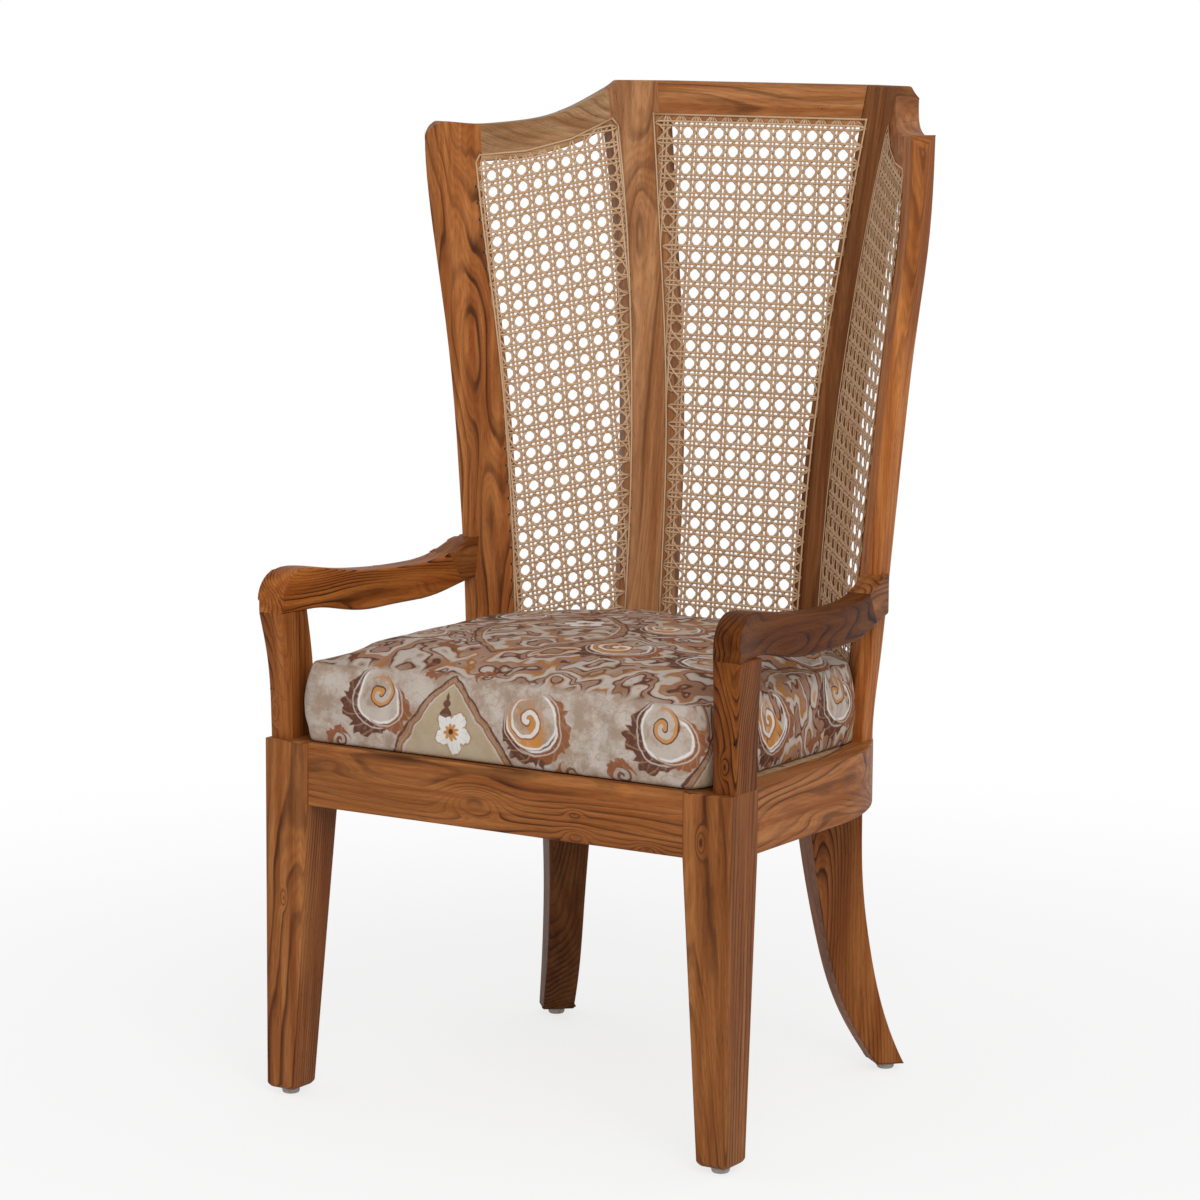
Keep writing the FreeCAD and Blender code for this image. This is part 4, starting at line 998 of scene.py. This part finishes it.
def hole_places(panel, origin, row, rise):
    """the drilled holes, where the rows and the uprights meet the outline, each with its way outward"""
    count = lattice_count(panel, origin, row, rise)
    found = []
    for way, step in ((row, rise), (rise, row)):
        for k in range(-count, count + 1):
            start = origin + step * (k + 0.5)
            for share, side in panel.crossings(start, way):
                if abs(side.dot(way.normalized())) < 0.75:
                    spot = start + way * share
                    found.append((spot, panel.outward(spot, side)))
    return found


def into_hole(holes, spot, reach):
    """the drilled hole that a strand goes down, if there is one near its end"""
    near = min((hole for hole, _ in holes), key=lambda hole: (hole - spot).length)
    return near if (near - spot).length < reach else spot


def cell_axis(row, rise):
    """the direction along which a place is measured in cells of the row"""
    return Vector((rise.y, -rise.x)) / (row.x * rise.y - row.y * rise.x)


def strand_families(row, rise, pair, count):
    """every strand's start and way, how it swings over and under, and its level in weave heights"""
    found = []
    for k in range(-count, count + 1):
        for side in (-1, 1):
            found.append((row * (k + 0.5) + row.normalized() * (pair * side), rise, 0.0, -0.25))
            found.append((rise * (k + 0.5) + rise.normalized() * (pair * side), row, 0.0, 0.35))
        found.append((row * (k + 0.5), row + rise, -1.0, 0.15))
        found.append((row * (k + 0.5), row - rise, 1.0, 0.15))
    return found


def weave(panel, origin, row, rise, holes, draw):
    """six-way cane in a lattice whose cells are row wide and rise high, gathered into the holes"""
    look = bpy.context.scene.armchair_cane
    shape = bmesh.new()
    layers = strand_layers(shape)
    count = lattice_count(panel, origin, row, rise)
    flat_row = cell_axis(row, rise)
    pull = max(row.length, rise.length) * HOLE_PULL
    for start, way, swing, level in strand_families(row, rise, look.pair_gap / 2, count):
        ends = panel.crossings(origin + start, way)
        for (low, low_side), (high, high_side) in zip(ends[::2], ends[1::2]):
            along = way.normalized()
            sines = [max(LEAST_SINE, abs(along.cross(side))) for side in (low_side, high_side)]
            first = low + look.margin / sines[0] / way.length
            last = high - look.margin / sines[1] / way.length
            path = []
            if last - first > 0.1:
                steps = max(2, math.ceil((last - first) * (6 if swing else 1.0)))
                for i in range(steps + 1):
                    spot = origin + start + way * (first + (last - first) * i / steps)
                    cell = (spot - origin).dot(flat_row)
                    height = SHEET_MIDDLE + look.weave_height * (level + swing * math.cos(math.tau * cell))
                    path.append((spot.x + draw.uniform(-0.0002, 0.0002), spot.y, height))
            tips = [into_hole(holes, origin + start + way * share, pull) for share in (low, high)]
            if (tips[1] - tips[0]).length < SHORTEST_STRAND:
                continue
            path = [(*tips[0], TIP_LEVEL)] + path + [(*tips[1], TIP_LEVEL)]
            wide = (look.slant_wide if swing else look.strand_wide) * draw.uniform(0.88, 1.08)
            ribbon(shape, layers, panel, path, wide, 0.0004, draw.random())
    for polygon in shape.faces:
        polygon.smooth = True
    return shape


def sides_of(panel):
    """the outline cut at its corners into runs of points"""
    corners = panel.outline
    count = len(corners)
    turns = []
    for i in range(count):
        before = corners[i] - corners[i - 1]
        after = corners[(i + 1) % count] - corners[i]
        if before.angle(after, 0) > math.radians(24):
            turns.append(i)
    runs = []
    for first, last in zip(turns, turns[1:] + [turns[0] + count]):
        runs.append([corners[i % count] for i in range(first, last + 1)])
    return runs


def inward(panel, a, b):
    """the direction from a side into the panel"""
    middle = sum(panel.outline, Vector((0, 0))) / len(panel.outline)
    way = (b - a).normalized()
    square = Vector((-way.y, way.x))
    return square if square.dot(middle - a) > 0 else -square


def spaced(run, step):
    """points at even steps along a run, its ends among them"""
    lengths = [0.0]
    for a, b in zip(run, run[1:]):
        lengths.append(lengths[-1] + (b - a).length)
    count = max(1, round(lengths[-1] / step))
    found = []
    for i in range(count + 1):
        want = lengths[-1] * i / count
        at = max(0, min(len(run) - 2, sum(length <= want for length in lengths) - 1))
        part = (want - lengths[at]) / max(1e-9, lengths[at + 1] - lengths[at])
        found.append(run[at] + (run[at + 1] - run[at]) * part)
    return found


def bind(panel, step, draw):
    """the strip over the drilled holes, one run for each side, laid through points three holes apart"""
    look = bpy.context.scene.armchair_cane
    shape = bmesh.new()
    layers = strand_layers(shape)
    for run in sides_of(panel):
        if len(run) < 2 or sum((b - a).length for a, b in zip(run, run[1:])) < 0.01:
            continue
        points = spaced(run, step * 3)
        path = []
        for i, point in enumerate(points):
            near = points[min(i + 1, len(points) - 1)]
            last = points[max(i - 1, 0)]
            inner = inward(panel, last, near) * (look.binder_wide * 0.55)
            end = i in (0, len(points) - 1)
            path.append((point.x + inner.x, point.y + inner.y, -0.0004 if end else 0.0001))
        ribbon(shape, layers, panel, path, look.binder_wide, 0.0005, 0.3 + draw.random() * 0.4)
    for polygon in shape.faces:
        polygon.smooth = True
    return shape


def drill(panel, holes):
    """dark discs of painted shade where the drilled holes open beside the strip"""
    shape = bmesh.new()
    for hole, outward in holes:
        spot = hole + outward * HOLE_OUT
        made = bmesh.ops.create_circle(shape, cap_ends=True, segments=10, radius=HOLE_RADIUS)["verts"]
        for vert in made:
            vert.co = panel.place(spot.x + vert.co.x, spot.y + vert.co.y, HOLE_LEVEL)
    return shape


def flipped(shape):
    """the mirror image of a shape, across the chair's middle"""
    twin = shape.copy()
    bmesh.ops.scale(twin, vec=(-1, 1, 1), verts=twin.verts)
    bmesh.ops.reverse_faces(twin, faces=twin.faces)
    return twin


def thicken(piece, thick):
    wall = piece.modifiers.new("strand_thickness", "SOLIDIFY")
    wall.thickness = thick
    wall.offset = -1.0


class ARMCHAIR_OT_cane(bpy.types.Operator):
    """Weave the three cane panels, bind their edges and paint dark shade into their holes"""

    bl_idname = "armchair.cane"
    bl_label = "Cane panels"

    def execute(self, context):
        look = context.scene.armchair_cane
        straw = cane_finish()
        hole = hole_shade_finish()
        draw = random.Random(5)
        centre = Panel("cane_centre")
        top = max(corner.y for corner in centre.outline)
        origin = Vector((look.centre_across / 2, top - look.centre_up * 1.06))
        row = Vector((look.centre_across, 0))
        rise = Vector((0, look.centre_up))
        holes = hole_places(centre, origin, row, rise)
        self.hang("centre", weave(centre, origin, row, rise, holes, draw), straw, "cane", "cane_centre")
        self.hang("centre_binder", bind(centre, look.centre_up, draw), straw, "binder_cane", "binder_centre")
        # dark discs of painted shade in the drilled holes
        self.hang("centre_holes", drill(centre, holes), hole, "teak", None)

        wing = Panel("cane_wing_right")
        row, rise, origin = self.wing_lattice(wing)
        holes = hole_places(wing, origin, row, rise)
        woven = weave(wing, origin, row, rise, holes, draw)
        # the wing's woven cane, its strip and the painted shade in its holes
        right = [woven, bind(wing, look.wing_up, draw), drill(wing, holes)]
        left = [flipped(shape) for shape in right]
        for side, (woven, strip, hole_shades) in (("left", left), ("right", right)):
            self.hang("wing_" + side, woven, straw, "cane", "cane_wing_" + side)
            self.hang("wing_binder_" + side, strip, straw, "binder_cane", "binder_wing_" + side)
            self.hang("wing_holes_" + side, hole_shades, hole, "teak", None)
        return {"FINISHED"}

    def wing_lattice(self, wing):
        """the wing's rows rise inwards and its uprights follow the wing post"""
        look = bpy.context.scene.armchair_cane
        low = min(wing.outline, key=lambda c: c.y * 4 - c.x)
        high = max(wing.outline, key=lambda c: c.y * 0.3 + c.x)
        lean = (high.x - low.x) / (high.y - low.y)
        row = Vector((-look.wing_across, look.wing_across * math.tan(look.wing_rise)))
        rise = Vector((lean * look.wing_up, look.wing_up))
        origin = low + Vector((-look.wing_across * 1.03, look.wing_up * 0.15))
        return row, rise, origin

    def hang(self, name, shape, material, slot_name, node):
        piece = link("cane_" + name + "_woven", to_mesh(name, shape), material, CHAIR_BODY)
        if node:
            thicken(piece, bpy.context.scene.armchair_cane.strand_thick)
            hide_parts(node)


# the cushion's plan from its front to its back: shares of its depth and of its half width
CUSHION_PLAN = (
    (0.0, 0.945), (0.008, 0.972), (0.022, 0.992), (0.045, 1.0), (0.683, 1.0), (0.70, 0.985), (0.784, 0.851),
    (0.968, 0.501), (0.99, 0.44), (1.0, 0.38),
)
# the front corners begin at these shares of the half width and the half depth
CORNER_ACROSS = 0.86
CORNER_AHEAD = 0.80
# how far the sides bulge, and how much narrower the top is than the foot
SIDE_BULGE = 0.004
TOP_TAPER = 0.010
# how square the top's rise is in plan
CROWN_POWER = 2.6
# how much the print is stretched along the sides and the back
SIDE_STRETCH = 1.15
BACK_STRETCH = 1.3
# how firmly the upper seam is held, and the share that the cloth is larger than its form
SEAM_HOLD = 0.72
CLOTH_EASE = 0.018


def cushion_outline():
    """half widths of the cushion at places from its front to its back, in the frame"""
    front = CUSHION_LOW.y
    deep = CUSHION_HIGH.y - front
    places = [front + deep * along for along, wide in CUSHION_PLAN]
    return places, [CUSHION_HIGH.x * wide for along, wide in CUSHION_PLAN]


def cushion_box(columns, rows, levels):
    """a closed box of even cells: x and y run from -1 to 1 and z from 0 to 1"""
    shape = bmesh.new()
    bmesh.ops.create_grid(shape, x_segments=columns, y_segments=rows, size=1.0)
    made = bmesh.ops.extrude_face_region(shape, geom=shape.faces[:], use_keep_orig=True)["geom"]
    lifted = [g for g in made if isinstance(g, bmesh.types.BMVert)]
    bmesh.ops.translate(shape, vec=UP, verts=lifted)
    upright = [e for e in shape.edges if abs(e.verts[0].co.z - e.verts[1].co.z) > 0.5]
    bmesh.ops.subdivide_edges(shape, edges=upright, cuts=levels - 1)
    bmesh.ops.recalc_face_normals(shape, faces=shape.faces)
    return shape


def perimeter_place(x, y, width):
    """how far a side point lies along the front and the sides, from the middle of the front"""
    front = CUSHION_LOW.y
    if abs(y - front) < 0.0005:
        return x
    if abs(x) > width * 0.999:
        return math.copysign(width + (y - front) * SIDE_STRETCH, x)
    return x * BACK_STRETCH


def shape_cushion(look):
    """the cushion before it is blown up, with its cloth laid out flat in a UV map"""
    places, widths = cushion_outline()
    deep = places[-1] - places[0]
    columns = round(2 * max(widths) / look.cell)
    rows = round(deep / look.cell)
    levels = round(look.seam_height / look.cell)
    shape = cushion_box(columns, rows, levels)
    cloth = shape.loops.layers.uv.new("cloth")
    shape.faces.ensure_lookup_table()
    side_faces = {f for f in shape.faces if abs(f.normal.z) < 0.5}
    base = CUSHION_LOW.z
    rest = {}
    for vert in shape.verts:
        x, y, z = vert.co
        ahead = places[0] + deep * (y + 1) / 2
        width = float(np.interp(ahead, places, widths))
        draw_in = 1 - TOP_TAPER * z
        corner = max(0.0, abs(x) - CORNER_ACROSS) / (1 - CORNER_ACROSS)
        corner *= max(0.0, -y - CORNER_AHEAD) / (1 - CORNER_AHEAD)
        swell = look.spread * (1 - z) + (SIDE_BULGE + look.corner * corner) * math.sin(math.pi * z)
        flat_x = x * width
        dome = (1 - abs(x) ** CROWN_POWER) * (1 - abs(y) ** CROWN_POWER)
        rise = look.crown * dome if z > 0.999 else 0.0
        rest[vert] = (flat_x, ahead, width)
        out = Vector((x if abs(x) > 0.999 else 0.0, y if abs(y) > 0.999 else 0.0, 0))
        out = out.normalized() * swell if out.length else out
        out.y = max(out.y, -0.004) if out.y < 0 else out.y * 0.3
        vert.co = Vector((flat_x * draw_in, ahead, base + look.seam_height * z + rise)) + out
    for face in shape.faces:
        for loop in face.loops:
            flat_x, ahead, width = rest[loop.vert]
            if face in side_faces:
                place = perimeter_place(flat_x, ahead, width)
                loop[cloth].uv = (place, loop.vert.co.z - base)
            else:
                loop[cloth].uv = (flat_x, ahead - places[0] + look.seam_height)
    return shape


def seam_weights(piece):
    """the foot and the upper seam hold still while the rest is blown up"""
    base = CUSHION_LOW.z
    held = piece.vertex_groups.new(name="held")
    mesh = piece.data
    seam = set()
    for edge in mesh.edges:
        if edge.use_seam:
            seam.update(edge.vertices)
    for vert in mesh.vertices:
        if vert.co.z < base + 0.0005:
            held.add([vert.index], 1.0, "REPLACE")
        elif vert.index in seam:
            held.add([vert.index], SEAM_HOLD, "REPLACE")


def blow_up(piece, look):
    """runs the cloth with pressure inside, caps how far it moved and keeps the result"""
    scene = bpy.context.scene
    before = np.zeros(len(piece.data.vertices) * 3)
    piece.data.vertices.foreach_get("co", before)
    cloth = piece.modifiers.new("stuffing", "CLOTH")
    settings = cloth.settings
    settings.quality = 6
    settings.mass = 0.25
    settings.tension_stiffness = 22
    settings.compression_stiffness = 12
    settings.shear_stiffness = 6
    settings.bending_stiffness = 0.6
    settings.use_pressure = True
    settings.uniform_pressure_force = look.pressure
    settings.vertex_group_mass = "held"
    settings.pin_stiffness = 1.0
    settings.shrink_min = -CLOTH_EASE
    settings.shrink_max = -CLOTH_EASE
    settings.effector_weights.gravity = 0.0
    cloth.collision_settings.use_collision = False
    for number in range(1, look.frames + 1):
        scene.frame_set(number)
    graph = bpy.context.evaluated_depsgraph_get()
    blown = piece.evaluated_get(graph).to_mesh()
    after = np.zeros(len(blown.vertices) * 3)
    blown.vertices.foreach_get("co", after)
    piece.evaluated_get(graph).to_mesh_clear()
    piece.modifiers.remove(cloth)
    scene.frame_set(1)
    move = (after - before).reshape(-1, 3)
    length = np.linalg.norm(move, axis=1, keepdims=True)
    move *= np.minimum(1.0, look.cap / np.maximum(length, 1e-9))
    piece.data.vertices.foreach_set("co", before + move.ravel())
    piece.data.update()


class ARMCHAIR_OT_cushion(bpy.types.Operator):
    """Sew, stuff and print the loose cushion"""

    bl_idname = "armchair.cushion"
    bl_label = "Cushion"

    def execute(self, context):
        look = context.scene.armchair_cushion
        shape = shape_cushion(look)
        base = CUSHION_LOW.z
        for edge in shape.edges:
            kinds = {abs(f.normal.z) < 0.6 for f in edge.link_faces}
            level = min(v.co.z for v in edge.verts) > base + look.seam_height * 0.9
            edge.seam = len(kinds) == 2 and level
        for polygon in shape.faces:
            polygon.smooth = True
        mesh = to_mesh("cushion_stuffed", shape)
        piece = bpy.data.objects.new("cushion_stuffed", mesh)
        context.scene.collection.objects.link(piece)
        seam_weights(piece)
        blow_up(piece, look)
        piece.vertex_groups.clear()
        finer = piece.modifiers.new("finer", "SUBSURF")
        finer.levels = 1
        finer.render_levels = 1
        mesh.materials.append(printed_cotton())
        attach(piece, CUSHION_BODY)
        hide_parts("cushion_cover", "cushion_core")
        return {"FINISHED"}


FLOOR_RADIUS = 9.0
LAMP_WIDE = 2.6
LAMP_AIM = Vector((0, 0, 0.55))


class ARMCHAIR_OT_stage(bpy.types.Operator):
    """Make the pale floor, the soft lamps and the camera"""

    bl_idname = "armchair.stage"
    bl_label = "Stage"

    def execute(self, context):
        look = context.scene.armchair_stage
        context.scene.view_settings.view_transform = "Standard"
        self.floor()
        self.sky(look)
        self.lamp("key_lamp", look.key_power, (2.6, -2.9, 2.9))
        self.lamp("fill_lamp", look.fill_power, (-3.2, -2.2, 2.0))
        self.camera(look)
        return {"FINISHED"}

    def floor(self):
        """a round floor that fades into the white around it"""
        shape = bmesh.new()
        bmesh.ops.create_circle(shape, cap_ends=True, segments=96, radius=FLOOR_RADIUS)
        s = Shader("floor_paper")
        x, y, _ = s.split(s.place())
        far = (x * x + y * y).maths("SQRT").smooth(0.5, 1.9) * 0.25 + 0.75
        paper = s.add("ShaderNodeBsdfDiffuse", {}, {"Color": (0.9, 0.9, 0.9)})
        white = s.add("ShaderNodeEmission", {}, {"Color": (1, 1, 1), "Strength": 1.0})
        camera = s.add("ShaderNodeLightPath", output=0)
        shown = s.add("ShaderNodeMixShader", {}, {0: far * camera, 1: paper, 2: white})
        s.add("ShaderNodeOutputMaterial", {}, {"Surface": shown})
        mesh = to_mesh("floor", shape)
        mesh.materials.append(s.material)
        floor = bpy.data.objects.new("floor", mesh)
        bpy.context.scene.collection.objects.link(floor)

    def sky(self, look):
        """even light from all round that the camera sees as white"""
        world = bpy.data.worlds.new("studio")
        bpy.context.scene.world = world
        world.use_nodes = True
        nodes = world.node_tree.nodes
        links = world.node_tree.links
        ground = nodes["Background"]
        path = nodes.new("ShaderNodeLightPath")
        strength = nodes.new("ShaderNodeMapRange")
        strength.inputs["To Min"].default_value = look.sky
        strength.inputs["To Max"].default_value = 1.0
        ground.inputs["Color"].default_value = (1, 1, 1, 1)
        links.new(path.outputs["Is Camera Ray"], strength.inputs["Value"])
        links.new(strength.outputs["Result"], ground.inputs["Strength"])

    def lamp(self, name, power, place):
        """a square soft lamp that looks at the seat"""
        light = bpy.data.lights.new(name, "AREA")
        light.energy = power
        light.size = LAMP_WIDE
        lamp = bpy.data.objects.new(name, light)
        bpy.context.scene.collection.objects.link(lamp)
        lamp.location = place
        aim = LAMP_AIM - lamp.location
        lamp.rotation_euler = aim.to_track_quat("-Z", "Y").to_euler()

    def camera(self, look):
        """a camera that turns round the chair by its angles and stands at its own place"""
        lens = bpy.data.cameras.new("camera")
        lens.lens = look.lens
        lens.clip_start = 0.1
        lens.clip_end = 60.0
        camera = bpy.data.objects.new("camera", lens)
        bpy.context.scene.collection.objects.link(camera)
        azimuth, elevation = look.azimuth, look.elevation
        back = Vector((
            math.sin(azimuth) * math.cos(elevation),
            -math.cos(azimuth) * math.cos(elevation),
            math.sin(elevation)))
        level = Vector((math.cos(azimuth), math.sin(azimuth), 0))
        upright = back.cross(level)
        right = level * math.cos(look.roll) + upright * math.sin(look.roll)
        top = back.cross(right)
        turn = Matrix((right, top, back)).transposed().to_4x4()
        camera.matrix_world = Matrix.Translation(look.place) @ turn
        bpy.context.scene.camera = camera


class ARMCHAIR_PT_panel(bpy.types.Panel):
    """The steps of the armchair, in order"""

    bl_idname = "ARMCHAIR_PT_panel"
    bl_label = "Cane wing armchair"
    bl_space_type = "VIEW_3D"
    bl_region_type = "UI"
    bl_category = "Armchair"

    def draw(self, context):
        for step in STEPS:
            self.layout.operator(step.bl_idname)


STEPS = (
    ARMCHAIR_OT_stage,
    ARMCHAIR_OT_legs,
    ARMCHAIR_OT_seat_rails,
    ARMCHAIR_OT_back_frame,
    ARMCHAIR_OT_arms,
    ARMCHAIR_OT_hidden_wood,
    ARMCHAIR_OT_fixings,
    ARMCHAIR_OT_cane,
    ARMCHAIR_OT_cushion,
)
GROUPS = {
    "armchair_teak": TeakSettings,
    "armchair_cane": CaneSettings,
    "armchair_cushion": CushionSettings,
    "armchair_cloth": ClothSettings,
    "armchair_stage": StageSettings,
}


def register():
    for group in GROUPS.values():
        bpy.utils.register_class(group)
    for step in STEPS:
        bpy.utils.register_class(step)
    bpy.utils.register_class(ARMCHAIR_PT_panel)
    for name, group in GROUPS.items():
        setattr(bpy.types.Scene, name, PointerProperty(type=group))


def unregister():
    for name in GROUPS:
        delattr(bpy.types.Scene, name)
    bpy.utils.unregister_class(ARMCHAIR_PT_panel)
    for step in reversed(STEPS):
        bpy.utils.unregister_class(step)
    for group in reversed(list(GROUPS.values())):
        bpy.utils.unregister_class(group)


def main():
    register()
    bpy.ops.armchair.stage()
    bpy.ops.armchair.legs()
    bpy.ops.armchair.seat_rails()
    bpy.ops.armchair.back_frame()
    bpy.ops.armchair.arms()
    bpy.ops.armchair.hidden_wood()
    bpy.ops.armchair.fixings()
    bpy.ops.armchair.cane()
    bpy.ops.armchair.cushion()


if __name__ == "__main__":
    main()
